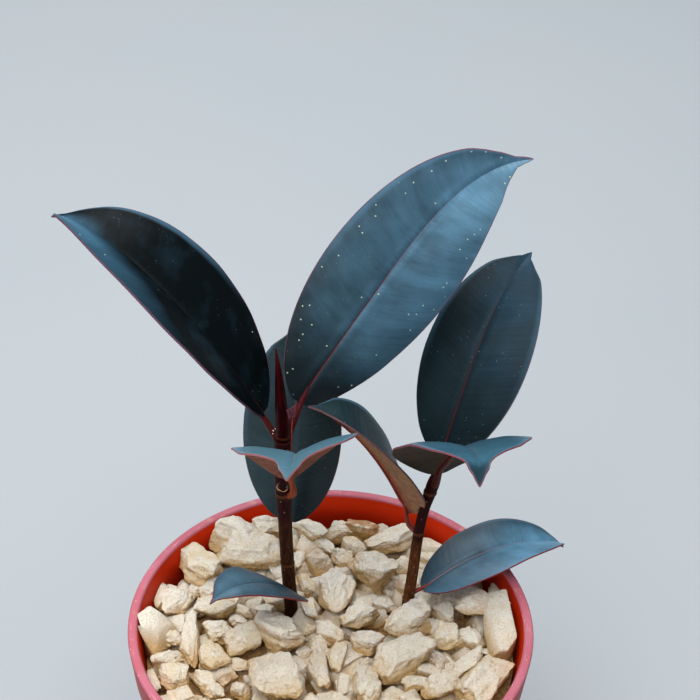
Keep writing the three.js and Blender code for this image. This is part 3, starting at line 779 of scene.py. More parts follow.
def stoneChips():
    finish = Finish("stone chips")
    place = finish.place()
    x, y, z = finish.split(place)
    tone = finish.tag("tone")
    shift = finish.vector(tone * 3, tone * 7, tone)
    moved = finish.node("VectorMath", {"operation": "ADD"}, {0: place, 1: shift})
    cloud = finish.noise(moved, 3.2 * mm, 4)
    patch = finish.noise(moved, 1.6 * mm, 4, 0.65)
    grain = finish.noise(moved, 0.6 * mm, 4, 0.75)
    sand = finish.noise(moved, 0.42 * mm, 2, 0.8)
    finish.base((cloud + tone * 0.30).rise(0.36, 0.68), stoneLook["cream"], stoneLook["pale"])
    ochre = (patch - tone * 0.12).rise(0.48, 0.66) * 0.45
    finish.coat(ochre, stoneLook["ochre"])
    stained = finish.tag("stain") * cloud.rise(0.36, 0.52)
    finish.coat(stained * 0.85, stoneLook["stain"])
    finish.coat(finish.tag("grey") * patch.rise(0.35, 0.6) * 0.75, stoneLook["grey"])
    finish.coat(grain.rise(0.54, 0.66) * 0.36, stoneLook["ochre"])
    finish.coat(sand.rise(0.50, 0.62) * 0.3, stoneLook["ochre"])
    # painted shade: the chips at the front are a little darker and browner, and a warm painted shade lies
    # round each chip's foot, on its steep sides and low down in the gaps
    front = y.fall(-26 * mm, 14 * mm)
    finish.coat(front * (tone * 0.22 + 0.16), stoneLook["front"])
    foot = (finish.tag("level") + patch * 0.3).fall(0.60, 1.08)
    finish.coat(foot * 0.84, stoneLook["ochre"])
    deep = z.fall((gravel["bedTop"] - 5) * mm, (gravel["bedTop"] + 0.6) * mm)
    finish.coat(deep * 0.9, stoneLook["deep"])
    height = grain * 0.7 + patch * 0.7 + sand * 1.0
    return finish.wear(0.9, height, 0.95, Specular_IOR_Level=0.05)


def crumbs():
    finish = Finish("crumbs under the chips")
    place = finish.place()
    grain = finish.noise(place, 1.1 * mm, 5, 0.7)
    finish.base(grain.rise(0.35, 0.7), stoneLook["crumb"], stoneLook["deep"])
    return finish.wear(0.95, grain, 0.8)


makeBed()
makeChips()
print("gravel is laid")


# stems and bud sheath

stems = {
    "stem_left": {
        "knots": [(-10, 13.2, 48, 1.7), (-10.4, 13.2, 68, 1.8), (-10.9, 13.2, 83.5, 1.8),
                  (-11.8, 13.2, 98, 1.8), (-12.6, 13.2, 113, 1.8), (-13.1, 13.2, 124.1, 2.1),
                  (-13.3, 13.2, 133.2, 2.35), (-13.3, 13.2, 139.5, 2.1)],
        "nodes": [87, 98, 122.1], "maroonFrom": 112,
        "brown": (0.058, 0.020, 0.008), "dark": (0.020, 0.006, 0.003), "maroon": (0.036, 0.006, 0.006),
    },
    "stem_right": {
        "knots": [(19.4, 12.8, 48, 1.3), (19.8, 12.8, 68, 1.4), (20.1, 12.8, 83.5, 1.5),
                  (21, 12.8, 94.4, 1.45), (21.8, 12.8, 107.7, 1.4), (23, 12.8, 117.8, 1.35),
                  (25, 12.8, 127.2, 1.6), (26.2, 12.8, 132.6, 0.5)],
        "nodes": [87.1, 110.3, 124.1], "maroonFrom": 106,
        "brown": (0.120, 0.040, 0.012), "dark": (0.045, 0.012, 0.004), "maroon": (0.030, 0.0025, 0.0025),
    },
}
bark = {
    "sides": 40, "steps": 26, "swell": 0.16, "ringLength": 0.5, "ringTilt": 0.25, "ridge": 0.03,
    "dip": 0.4, "dipAbove": 1.1, "dipLength": 0.45,
    "ring": (0.24, 0.085, 0.030), "dot": (0.34, 0.20, 0.12), "shade": (0.012, 0.003, 0.003),
}
scar = {
    "place": (-13.15, 11.25, 125.9), "radius": 1.45, "lip": 0.17, "sink": 0.42,
    "lipColours": ((0.035, 0.008, 0.008), (0.55, 0.27, 0.12)),
    "discColours": ((0.020, 0.004, 0.005), (0.20, 0.15, 0.18)),
}
sheath = {
    "knots": [(-13.3, 13.2, 139.9, 1.4), (-13.4, 13.2, 144.1, 1.7), (-13.8, 13.2, 152.1, 1.4),
              (-14.4, 13.2, 161, 0.8), (-15.1, 13.2, 168.2, 0.12)],
    "sides": 36, "steps": 24, "seamTurns": 0.35, "seamFrom": 140, "seamLength": 28, "seamStep": 0.14,
    "taperTo": 168, "taperLength": 20, "ringHeight": 140.9, "ringLift": 0.2, "redFrom": 158, "redTo": 169,
    "crimson": (0.034, 0.0008, 0.0018), "dark": (0.008, 0.0006, 0.0010), "tip": (0.085, 0.005, 0.005),
}


def makeStem(name, stem):
    def relief(height, angle):
        rings = np.zeros_like(height)
        for node in stem["nodes"]:
            tilted = height - node - bark["ringTilt"] * np.cos(angle - node)
            rings += np.exp(-(tilted / bark["ringLength"]) ** 2)
            rings -= bark["dip"] * np.exp(-((tilted - bark["dipAbove"]) / bark["dipLength"]) ** 2)
        ridges = np.sin(5 * angle + height * 0.12) * 0.5 + np.sin(9 * angle - height * 0.2) * 0.5
        return bark["swell"] * rings + bark["ridge"] * ridges
    piece = tube(name + "_bark", stem["knots"], bark["steps"], bark["sides"], relief)
    piece.data.materials.append(barkFinish(name, stem))
    return piece


def barkFinish(name, stem):
    finish = Finish(name + " bark")
    place = finish.place()
    x, y, z = finish.split(place)
    stretched = finish.vector(x * 2.2, y * 2.2, z * 0.35)
    cloud = finish.noise(place, 5 * mm, 4)
    fibre = finish.noise(stretched, 0.8 * mm, 4, 0.6)
    finish.base(fibre.rise(0.35, 0.7), stem["dark"], stem["brown"])
    upper = (z + cloud * 14 * mm).rise((stem["maroonFrom"] + 3) * mm, (stem["maroonFrom"] + 13) * mm)
    maroon = finish.blend(fibre.rise(0.3, 0.75), bark["shade"], stem["maroon"])
    finish.coat(upper, maroon)
    rings = 0.0
    for node in stem["nodes"]:
        rings = abs(z - (node + 0.2) * mm).fall(0, 0.75 * mm) + rings
    finish.coat(rings * 0.3, bark["ring"])
    flat = finish.vector(x, y, z * 0.6)
    dots = finish.cells(flat, 1.3 * mm).fall(0.10, 0.19)
    dots = dots * finish.cells(flat, 1.3 * mm, "Color").rise(0.45, 0.5)
    finish.coat(dots * 0.5, bark["dot"])
    height = fibre * 0.5 + dots * 0.5 + cloud * 0.3
    return finish.wear(0.42 + fibre * 0.15, height, 0.08, Specular_IOR_Level=0.06)


def makeScar():
    # the round scar of a fallen leaf: a raised lip with a sunk disc in it
    place = Vector(scar["place"]) * mm
    lip = newPiece(bpy.ops.mesh.primitive_torus_add, location=place, rotation=(math.radians(90), 0, 0),
                   major_segments=40, minor_segments=12, major_radius=scar["radius"] * mm,
                   minor_radius=scar["lip"] * mm)
    placed(lip)
    shape = points(lip)
    shape[:, 2] += 0.12 * mm * np.sin(shape[:, 0] / mm * 3.1)
    setPoints(lip, shape)
    lip.data.materials.append(scarLip())
    disc = newPiece(bpy.ops.mesh.primitive_uv_sphere_add, segments=28, ring_count=16,
                    radius=scar["radius"] * mm, location=place + Vector((0, scar["sink"] * mm, 0)))
    disc.scale = (1, 0.42, 1)
    placed(disc)
    shape = points(disc)
    front = shape[:, 1] < place.y + scar["sink"] * mm
    reach = np.hypot(shape[front, 0] - place.x, shape[front, 2] - place.z) / mm
    shape[front, 1] += (0.30 * np.exp(-(reach / 0.55) ** 2) - 0.14 * np.exp(-(reach / 0.2) ** 2)) * mm
    setPoints(disc, shape)
    disc.data.materials.append(scarDisc())
    return [lip, disc]


def scarLip():
    finish = Finish("leaf scar lip")
    place = finish.place()
    cloud = finish.noise(place, 0.8 * mm, 4)
    x, y, z = finish.split(place)
    middle = scar["place"][2] + scar["place"][0] * 0.6
    low = (z + x * 0.6 + cloud * 0.9 * mm).fall((middle - 0.41) * mm, (middle + 1.19) * mm)
    finish.base(low, *scar["lipColours"])
    return finish.wear(0.5, cloud, 0.15)


def scarDisc():
    finish = Finish("leaf scar disc")
    place = finish.place()
    cloud = finish.noise(place, 0.5 * mm, 4)
    x, y, z = finish.split(place)
    middle = scar["place"][0] - scar["place"][2] * 0.4
    right = (x - z * 0.4 + cloud * 0.6 * mm).rise((middle + 0.71) * mm, (middle + 1.51) * mm)
    finish.base(right * 0.8, *scar["discColours"])
    return finish.wear(0.6, cloud, 0.2)


def makeSheath():
    def relief(height, angle):
        # the rolled scale's open edge winds up the spike as a step
        climb = (height - sheath["seamFrom"]) / sheath["seamLength"]
        turn = (angle / (2 * math.pi) + climb * sheath["seamTurns"]) % 1
        taper = np.clip((sheath["taperTo"] - height) / sheath["taperLength"], 0.05, 1)
        above = height - sheath["ringHeight"] + 0.25 * np.cos(angle)
        ring = sheath["ringLift"] * np.exp(-(above / 0.5) ** 2)
        return taper * (sheath["seamStep"] * turn + 0.03 * np.sin(3 * angle + height * 0.3)) + ring
    spike = tube("bud_sheath_scale", sheath["knots"], sheath["steps"], sheath["sides"], relief)
    finish = Finish("bud sheath")
    x, y, z = finish.split(finish.place())
    fibre = finish.noise(finish.vector(x * 3, y * 3, z * 0.25), 1.0 * mm, 4)
    finish.base(fibre.rise(0.3, 0.7), sheath["dark"], sheath["crimson"])
    finish.coat(z.rise(sheath["redFrom"] * mm, sheath["redTo"] * mm) * 0.6, sheath["tip"])
    ring = abs(z - sheath["ringHeight"] * mm).fall(0, 0.7 * mm)
    finish.coat(ring * 0.22, bark["ring"])
    material = finish.wear(0.4, fibre, 0.10, Specular_IOR_Level=0.06)
    finishPiece(spike, "bud_scale", "bud_sheath", material=material, angle=30)


def makeStems():
    left = joined("stem_left_bark", [makeStem("stem_left", stems["stem_left"]), *makeScar()])
    finishPiece(left, "bark", "stem_left", angle=60)
    finishPiece(makeStem("stem_right", stems["stem_right"]), "bark", "stem_right", angle=60)


makeStems()
makeSheath()
print("stems and bud sheath are grown")


# leaves: base is where the blade starts, and petiole is its route there from the stem
# heading and rise turn by swing, droop and hook along the blade, roll and twist tip it, and fold and curl
# shape it across; a leaf has what usualLeaf says unless it says otherwise

usualLeaf = {
    "nod": 0, "pinch": (0.86, 0.96, 0.35), "slim": 0.74, "ribTurn": (0.40, 0.68), "slot": "leaf_blue",
    "gloss": 0.25, "sheen": 0.02, "brushed": 0.02, "dots": 0.2, "tipShade": 0,
}
leaves = {
    "leaf_upper_left": {
        "base": (-18.4, 16.5, 145.4), "length": 78.5, "width": 41.7, "heading": 162, "rise": 57,
        "droop": 49, "bend": 1.15, "swing": -23, "roll": 13, "twist": 7, "fold": 19, "foldTip": 24,
        "curl": 0.13, "hook": 33, "petiole": ((-13.1, 13.2, 136.2, 1.5), (-15.5, 14.6, 140.3, 1.35)),
        "slot": "leaf_dark", "deep": (0.0012, 0.0028, 0.0035), "bloomAndReflection": (0.092, 0.265, 0.425),
        "bloomAndReflectionFrom": (0.63, 1.27, -0.80), "midrib": ((0.045, 0.006, 0.007), (0.004, 0.005, 0.006)),
        "margin": (0.115, 0.050, 0.075), "under": (0.06, 0.035, 0.028), "stalk": (0.080, 0.006, 0.006),
        "gloss": 0.04, "sheen": 0.0, "sides": (0.2, 0.6, 0.28, 0.0), "baseShade": 0.5, "clouds": 0.75,
        "ribTurn": (0.10, 0.35), "slim": 0.68, "brushed": 0.0, "dots": 0.28,
    },
    "leaf_upper_right": {
        "base": (-9.4, 18.4, 147.8), "length": 87.8, "width": 32.4, "heading": 33, "rise": 52.8,
        "droop": -15.8, "bend": 1.46, "swing": -38.8, "roll": 65.2, "twist": 8.9, "fold": 0.5,
        "foldTip": 23.7, "curl": 0.22, "hook": 61.2,
        "petiole": ((-13.1, 13.3, 137.4, 1.5), (-11.4, 15.7, 142.0, 1.5)), "deep": (0.007, 0.016, 0.021),
        "bloomAndReflection": (0.100, 0.235, 0.350), "bloomAndReflectionFrom": (-0.25, 1.1, 0.60),
        "midrib": ((0.085, 0.009, 0.011), (0.17, 0.145, 0.20)), "margin": (0.13, 0.040, 0.066),
        "under": (0.16, 0.09, 0.07), "stalk": (0.080, 0.006, 0.011), "gloss": 0.3, "sheen": 0.04,
        "sides": (0.2, 0.15, 0.0, 0.3), "baseShade": 1.0, "clouds": 1.7, "slim": 0.8, "brushed": 0.008,
        "dots": 1.0,
    },
    "leaf_back": {
        "base": (-11.5, 19.8, 106.7), "length": 55.9, "width": 25.8, "heading": 90, "rise": 71.3,
        "droop": -6.5, "bend": 1.44, "swing": -8.9, "roll": -7.8, "twist": 4, "fold": 4, "foldTip": 9.7,
        "curl": 0.08, "hook": -2.5, "petiole": ((-11.4, 13.2, 97.6, 1.2), (-11.5, 17, 101.6, 1.05)),
        "slot": "leaf_dark", "deep": (0.008, 0.017, 0.020), "bloomAndReflection": (0.033, 0.068, 0.080),
        "bloomAndReflectionFrom": (-0.1, 1.2, -1.1), "midrib": ((0.07, 0.02, 0.02), (0.04, 0.02, 0.02)),
        "margin": (0.10, 0.030, 0.030), "under": (0.12, 0.07, 0.05), "stalk": (0.09, 0.010, 0.008),
        "gloss": 0.2, "sides": (0.6, 0.25, 0.0, 0.3), "baseShade": 0.3, "clouds": 1.6, "brushed": 0.012,
        "dots": 0.15,
    },
    "leaf_front_left": {
        "base": (-11.4, 10.7, 128.2), "length": 70.5, "width": 32.6, "heading": -80.2, "rise": 70.3,
        "droop": 40.8, "bend": 0.5, "swing": -16, "roll": 1.2, "twist": 11.4, "fold": 30.5, "foldTip": 16.5,
        "curl": 0.21, "hook": 7, "nod": 10.2, "pinch": (0.73, 0.90, 0.66),
        "petiole": ((-12.2, 13, 121.4, 1.4), (-10.4, 10.6, 124.6, 1.3)), "deep": (0.018, 0.058, 0.080),
        "bloomAndReflection": (0.060, 0.145, 0.195), "bloomAndReflectionFrom": (-0.3, 0.7, 0),
        "midrib": ((0.12, 0.03, 0.03), (0.2, 0.14, 0.17)), "margin": (0.30, 0.115, 0.125),
        "under": (0.28, 0.098, 0.060), "stalk": (0.36, 0.060, 0.020), "sides": (0.1, 0.1, 0.3, 0.3),
        "baseShade": 0.2, "clouds": 1.2,
    },
    "leaf_low_left": {
        "base": (-7, 9, 88.8), "length": 35.9, "width": 14.5, "heading": 199.1, "rise": 48.8, "droop": 37.6,
        "bend": 1.17, "swing": 36.7, "roll": 25.4, "twist": -44.3, "fold": 4.7, "foldTip": 30.6,
        "curl": 0.28, "hook": 24.5, "petiole": ((-11, 13.1, 86.7, 0.9), (-8.3, 10.8, 87.7, 0.8)),
        "deep": (0.020, 0.044, 0.060), "bloomAndReflection": (0.102, 0.212, 0.298), "bloomAndReflectionFrom": (0.0, 1.0, -0.3),
        "midrib": ((0.02, 0.012, 0.014), (0.015, 0.02, 0.03)), "margin": (0.26, 0.025, 0.022),
        "under": (0.12, 0.03, 0.025), "stalk": (0.085, 0.009, 0.009), "sheen": 0.03,
        "sides": (0.5, 0.5, 0.1, 0.1), "baseShade": 0.5, "clouds": 1.8, "brushed": 0.015, "dots": 0.15,
    },
    "leaf_tall_right": {
        "base": (26.6, 15.3, 133.4), "length": 59.7, "width": 28.2, "heading": 59.1, "rise": 60,
        "droop": 32.5, "bend": 1.7, "swing": -1.8, "roll": -6.7, "twist": 12.8, "fold": 5.2, "foldTip": 3.8,
        "curl": 0.12, "hook": 29, "petiole": ((25.1, 13, 127.6, 1), (26.1, 14.5, 131, 0.95)),
        "slot": "leaf_dark", "deep": (0.0048, 0.0120, 0.0160), "bloomAndReflection": (0.010, 0.048, 0.086),
        "bloomAndReflectionFrom": (0.30, 1.3, 0.62), "midrib": ((0.046, 0.006, 0.007), (0.020, 0.005, 0.006)),
        "margin": (0.060, 0.050, 0.070), "under": (0.12, 0.07, 0.05), "stalk": (0.060, 0.006, 0.006),
        "gloss": 0.08, "sheen": 0.0, "sides": (0.45, 0.35, 0.10, 0.16), "baseShade": 0.6, "clouds": 1.7,
        "brushed": 0.006,
    },
    "leaf_front_right": {
        "base": (25.7, 10.1, 132.2), "length": 68.2, "width": 33.8, "heading": -73.2, "rise": 68.5,
        "droop": 39.6, "bend": 0.54, "swing": -18.3, "roll": -4, "twist": 9, "fold": 17.5, "foldTip": 24.5,
        "curl": 0.29, "hook": 21.6, "nod": 11, "pinch": (0.80, 0.90, 0.68),
        "petiole": ((24.9, 12.6, 126, 1.3), (25.6, 10.8, 129.2, 1.25)), "deep": (0.005, 0.022, 0.036),
        "bloomAndReflection": (0.028, 0.105, 0.160), "bloomAndReflectionFrom": (0.0, 1.1, 0),
        "midrib": ((0.10, 0.03, 0.03), (0.05, 0.06, 0.08)), "margin": (0.22, 0.065, 0.085),
        "under": (0.040, 0.028, 0.020), "stalk": (0.085, 0.012, 0.008), "sides": (0.1, 0.1, 0.3, 0.2),
        "baseShade": 0.4, "clouds": 1.4, "dots": 0.1, "tipShade": 0.85,
    },
    "leaf_low_right": {
        "base": (24.1, 12.7, 90.4), "length": 48.5, "width": 22, "heading": 29.3, "rise": 31, "droop": 64.4,
        "bend": 0.86, "swing": 1.7, "roll": -9.9, "twist": 1.5, "fold": -2.5, "foldTip": 26.2, "curl": 0.08,
        "hook": 12, "petiole": ((20.3, 12.8, 87.2, 0.85), (22.1, 12.7, 89.5, 0.8)),
        "deep": (0.011, 0.038, 0.060), "bloomAndReflection": (0.105, 0.262, 0.405), "bloomAndReflectionFrom": (-0.1, 1.15, 0.8),
        "midrib": ((0.17, 0.090, 0.100), (0.17, 0.15, 0.18)), "margin": (0.20, 0.035, 0.045),
        "under": (0.14, 0.08, 0.06), "stalk": (0.20, 0.022, 0.018), "sheen": 0.03,
        "sides": (0.15, 0.7, 0.2, 0.2), "baseShade": 0.4, "clouds": 2.2,
    },
    "leaf_arching": {
        "base": (19.4, 16.6, 113.8), "length": 48.9, "width": 22.8, "heading": 209.3, "rise": 68.3,
        "droop": 23.2, "bend": 1.44, "swing": -26.9, "roll": 0, "twist": 4.7, "fold": 31.6, "foldTip": 29.1,
        "curl": 0.12, "hook": 23.8, "petiole": ((21.8, 12.9, 109.8, 0.9), (19.3, 14.3, 111.8, 0.85)),
        "slot": "leaf_underside", "deep": (0.006, 0.015, 0.018), "bloomAndReflection": (0.015, 0.036, 0.044),
        "bloomAndReflectionFrom": (0.1, 1.0, 0), "midrib": ((0.10, 0.03, 0.03), (0.06, 0.05, 0.06)),
        "margin": (0.10, 0.042, 0.052), "under": (0.34, 0.165, 0.085), "stalk": (0.24, 0.030, 0.014),
        "gloss": 0.2, "sides": (0.3, 0.3, 0.3, 0.3), "baseShade": 0.3, "clouds": 1.5, "dots": 0.15,
    },
}
blade = {
    "rows": 170, "columns": 44, "thickness": 0.42, "bodyShare": 0.955, "widestShift": 0.92, "roundness": 0.62,
    "tipShare": 0.125, "tipLength": 0.07, "tipHalfWidth": 0.12, "grooveDepth": 0.26, "grooveWidth": 0.42,
    "veinPitch": 1.9, "veinLift": 0.008, "sway": 0.09, "edgeWave": 0.06,
    "ribTaper": ((0.05, 0.50, 0.60), (0.14, 0.52, 0.95), (0.30, 0.44, 1.0), (0.48, 0.36, 1.0),
                 (0.66, 0.26, 1.0), (0.84, 0.14, 1.0)),
}
# rim is the colour of the painted glint on a rolled margin
leafMarks = {
    "dot": (0.44, 0.55, 0.36), "dust": (0.50, 0.60, 0.66), "rim": (0.11, 0.26, 0.40),
    "stalkPale": (0.42, 0.13, 0.06), "sheen": (0.28, 0.62, 0.95),
}


def outline(leaf, t):
    # half width as a share of its greatest: rounded at the base, then drawn out into a drip tip
    q = np.minimum(t / blade["bodyShare"], 1) ** blade["widestShift"]
    start, end, pinch = leaf["pinch"]
    near = np.clip((t - start) / (end - start), 0, 1)
    body = (4 * q * (1 - q)) ** blade["roundness"] * (1 - pinch * near * near * (3 - 2 * near))
    tail = blade["tipShare"] * np.minimum(1, (1 - t) / blade["tipLength"]) ** 0.8
    return np.hypot(body, tail)


def midribDirection(leaf, t):
    nod = leaf["nod"] * np.clip((t - 0.78) / 0.16, 0, 1) ** 1.5
    slope = np.radians(leaf["rise"] - leaf["droop"] * t ** leaf["bend"] - leaf["hook"] * t ** 5 - nod)
    turn = np.radians(leaf["heading"] + leaf["swing"] * t)
    return np.stack([np.cos(slope) * np.cos(turn), np.cos(slope) * np.sin(turn), np.sin(slope)], axis=-1)


def bladeForm(leaf):
    # gives points of the blade at t (0 base, 1 tip) and v (-1 right edge, 1 left edge), lifted off its middle
    steps = 40
    middles = (np.arange(steps) + 0.5) / steps
    strides = midribDirection(leaf, middles) * leaf["length"] / steps
    joints = np.vstack([leaf["base"], leaf["base"] + np.cumsum(strides, axis=0)])
    marks = np.linspace(0, 1, steps + 1)

    def place(t, v, lift):
        centre = np.stack([np.interp(t, marks, joints[:, axis]) for axis in range(3)], axis=-1)
        along = midribDirection(leaf, t)
        turn = np.radians(leaf["heading"] + leaf["swing"] * t)
        level = np.stack([-np.sin(turn), np.cos(turn), np.zeros_like(turn)], axis=-1)
        tip = np.radians(leaf["roll"] + leaf["twist"] * t)[:, None]
        side = level * np.cos(tip) + np.cross(along, level) * np.sin(tip)
        up = np.cross(along, side)
        half = np.maximum(leaf["width"] / 2 * outline(leaf, t), blade["tipHalfWidth"])
        reach = np.abs(v) * half
        fold = np.radians(leaf["fold"] + (leaf["foldTip"] - leaf["fold"]) * t)
        bend = 2 * leaf["curl"] / leaf["width"]
        slope = np.arctan2(np.sin(fold) - 2 * bend * reach, np.cos(fold)) * np.minimum(1, reach / 1.5)
        outwards = np.sign(v) * (reach * np.cos(fold) - lift * np.sin(slope))
        upwards = reach * np.sin(fold) - bend * reach ** 2 + lift * np.cos(slope)
        return centre + side * outwards[:, None] + up * upwards[:, None]

    return place


def bladeRelief(leaf, t, v):
    # groove over the midrib, low veins, slow swells and a slight wave at the margins
    half = leaf["width"] / 2 * outline(leaf, t)
    reach = np.abs(v) * half
    far = t * leaf["length"]
    shift = leaf["seed"] * 1.7
    groove = -blade["grooveDepth"] * (1 - 0.6 * t) * np.exp(-(reach / blade["grooveWidth"]) ** 2)
    shoulder = 0.10 * np.exp(-((reach - 1.5) / 0.8) ** 2)
    phase = 2 * math.pi * (far - 0.42 * reach) / blade["veinPitch"] + 1.3 * np.sin(far * 0.21 + shift)
    veins = blade["veinLift"] * np.sin(phase) * np.clip(reach / 2, 0, 1) * np.clip((half - reach) / 2, 0, 1)
    swell = blade["sway"] * np.sin(far * 0.34 + reach * 0.25 * np.sign(v) + shift)
    swell = swell * np.sin(reach * 0.42 + far * 0.11 + shift) * np.clip(reach / 3, 0, 1)
    wave = blade["edgeWave"] * np.abs(v) ** 5 * np.sin(far * 0.37 + 2.1 * np.sign(v) + shift)
    wave = wave * np.clip(6 * t, 0, 1)
    return (groove + shoulder + veins + swell + wave) * np.clip((1 - t) * 12, 0, 1)


def makeLeaf(name, leaf):
    form = bladeForm(leaf)
    sheet, across, even = shapedGrid(blade["rows"], blade["columns"])
    t = (even + 0.5 - 0.5 * np.cos(math.pi * even)) / 2
    v = -across * (0.45 + 0.55 * np.abs(across))
    setPoints(sheet, form(t, v, bladeRelief(leaf, t, v)) * mm)
    reach = v * leaf["width"] / 2 * outline(leaf, t)
    addMap(sheet, "bladeMap", np.stack([t * leaf["length"], reach], axis=1) / 100)
    addMap(sheet, "shareMap", np.stack([v * 0.5 + 0.5, t], axis=1))
    for material in (leafTop(name, leaf), leafUnder(name, leaf), leafEdge(name, leaf), leafStalk(name, leaf)):
        sheet.data.materials.append(material)
    modify(sheet, "SOLIDIFY", thickness=blade["thickness"] * mm, offset=0, material_offset=1,
           material_offset_rim=2)
    knots = [(x, y, z, radius * leaf["slim"]) for x, y, z, radius in leaf["petiole"]]
    for share, size, sink in blade["ribTaper"]:
        radius = leaf["petiole"][1][3] * size
        middle = form(np.array([share]), np.array([0.0]), np.array([-0.12 - radius * sink]))[0]
        knots.append((*middle, radius))
    rod = tube(name + "_stalk", knots, 12, 20)
    for place in range(4):
        rod.data.materials.append(sheet.data.materials[place])
    for face in rod.data.polygons:
        face.material_index = 3
    whole = joined(name + "_blade", [sheet, rod])
    finishPiece(whole, leaf["slot"], name, angle=50)


def veinStreaks(finish, seed):
    # streaks along the side veins, which leave the midrib at a slant and bend forward
    far, reach = finish.uv("bladeMap")
    side = finish.maths("SIGN", reach)
    reach = abs(reach) * 100
    far = far * 100
    lane = far - reach * 0.31 - reach * reach * 0.008
    fine = finish.noise(finish.vector(lane, reach * 0.05, side * 9 + seed * 5), 0.55, 3, 0.6)
    broad = finish.noise(finish.vector(lane, reach * 0.36, side * 7 + seed * 3), 5.0, 3, 0.5)
    return far, reach, side, fine, broad


def tinted(colour, share, more=0):
    return tuple(min(1, part * share + more) for part in colour)


def leafTop(name, leaf):
    finish = Finish(name + " top")
    far, reach, side, fine, broad = veinStreaks(finish, leaf["seed"])
    share, t = finish.uv("shareMap")
    edge = abs(share * 2 - 1)
    place = finish.place()
    cloud = finish.noise(place, 11 * mm, 3)
    mottle = finish.noise(place, 1.6 * mm, 4, 0.6)
    # the waxy bloom's blue, with painted sky reflection on it, grows from one end and side of the blade to
    # the other
    fromT, toT, sideways = leaf["bloomAndReflectionFrom"]
    bloomAndReflectionSpread = (t + (0.5 - share) * sideways).rise(fromT, toT)
    bloomAndReflection = bloomAndReflectionSpread * 0.68 + (broad * 0.45 + cloud * 0.55 - 0.5) * leaf["clouds"] * (bloomAndReflectionSpread * 0.75 + 0.25)
    bloomAndReflection = finish.maths("MINIMUM", finish.maths("MAXIMUM", bloomAndReflection, 0.0), 1.0)
    finish.base(bloomAndReflection, leaf["deep"], leaf["bloomAndReflection"])
    shade = tinted(leaf["deep"], 0.45)
    # dark and pale brushed streaks between the side veins
    finish.coat(fine.rise(0.47, 0.7) * 0.17, shade)
    brushed = fine.fall(0.30, 0.46)
    finish.coat(brushed * leaf["brushed"], leafMarks["dust"])
    start = fine.rise(0.50, 0.62) * reach.fall(0.5, 3.8) * bloomAndReflection
    finish.coat(start * 0.3, tinted(leaf["bloomAndReflection"], 1.8, 0.01))
    # painted shade towards the margins, the base and on some leaves the tip, with a painted glint of the
    # sky's light on a margin that rolls over
    left = share.rise(0.44, 0.56)
    rightShade, leftShade, rightRim, leftRim = leaf["sides"]
    dim = edge.rise(0.45, 1.0) * (left * (leftShade - rightShade) + rightShade)
    base = (t + cloud * 0.12).fall(0.10, 0.34)
    finish.coat(finish.maths("MAXIMUM", dim, base * leaf["baseShade"]), shade)
    if leaf["tipShade"]:
        finish.coat(t.rise(0.86, 0.93) * leaf["tipShade"], shade)
    glint = (edge + cloud * 0.05).rise(0.88, 0.99) * t.rise(0.25, 0.65)
    finish.coat(glint * (left * (leftRim - rightRim) + rightRim), leafMarks["rim"])
    rib = (reach * (t * 0.9 + 0.6)).fall(0.08, 0.30)
    ribColour = finish.blend((t + mottle * 0.1).rise(*leaf["ribTurn"]), *leaf["midrib"])
    finish.coat(rib * (1 - t.rise(0.62, 0.90) * 0.8), ribColour)
    # pale water pores sit in a loose row inside each margin
    flat = finish.vector(far, reach * side + leaf["seed"] * 30)
    cell = finish.cells(flat, 3.1, dimensions="2D")
    chosen = finish.cells(flat, 3.1, "Color", "2D")
    row = edge.rise(0.62, 0.72) * edge.fall(0.90, 0.94)
    wanted = finish.maths("GREATER_THAN", (row * 0.50 + 0.13) * leaf["dots"], chosen)
    dots = cell.fall(0.04, 0.085) * wanted
    finish.coat(dots * 0.8, leafMarks["dot"])
    dust = finish.cells(place, 1.15 * mm).fall(0.03, 0.10) * cloud.rise(0.48, 0.6)
    finish.coat(dust * 0.4, leafMarks["dust"])
    line = edge.rise(0.978, 0.992)
    finish.coat(line * 0.7, leaf["margin"])
    roughness = 0.38 + mottle * 0.08 + dust * 0.3 + dots * 0.2
    height = fine * 0.25 + broad * 0.5 + mottle * 0.3 + dots * 0.4
    return finish.wear(roughness, height, 0.14, Specular_IOR_Level=leaf["gloss"], Sheen_Weight=leaf["sheen"],
                       Sheen_Roughness=0.42, Sheen_Tint=leafMarks["sheen"])


def leafUnder(name, leaf):
    finish = Finish(name + " underside")
    far, reach, side, fine, broad = veinStreaks(finish, leaf["seed"] + 20)
    mottle = finish.noise(finish.place(), 1.8 * mm, 4, 0.6)
    finish.base(mottle.rise(0.35, 0.68), tinted(leaf["under"], 0.62), leaf["under"])
    finish.coat(fine.rise(0.5, 0.64) * 0.35, tinted(leaf["under"], 0.5))
    rib = reach.fall(0.6, 1.5)
    finish.coat(rib * 0.7, leaf["stalk"])
    return finish.wear(0.55 + mottle * 0.1, fine * 0.5 + mottle * 0.3, 0.12, Specular_IOR_Level=0.15)


def leafEdge(name, leaf):
    finish = Finish(name + " margin")
    cloud = finish.noise(finish.place(), 2.5 * mm, 3)
    finish.base(cloud, tinted(leaf["margin"], 0.6), leaf["margin"])
    return finish.wear(0.5, Specular_IOR_Level=0.15)


def leafStalk(name, leaf):
    finish = Finish(name + " stalk")
    place = finish.place()
    far, around = finish.uv("bladeMap")
    fibre = finish.noise(finish.vector(far * 22, around * 260, 0.0), 1.0, 4)
    mottle = finish.noise(place, 1.4 * mm, 4)
    finish.base(fibre.rise(0.35, 0.7), tinted(leaf["stalk"], 0.5), leaf["stalk"])
    pale = mottle.rise(0.58, 0.75) * 0.12
    finish.coat(pale, leafMarks["stalkPale"])
    return finish.wear(0.40 + mottle * 0.1, fibre, 0.08, Specular_IOR_Level=0.2)


for seed, (leafName, leafShape) in enumerate(leaves.items(), 1):
    makeLeaf(leafName, usualLeaf | leafShape | {"seed": seed})
print("leaves are grown")


# small things on the stems: a dried flap, a thread and drops of dried sap

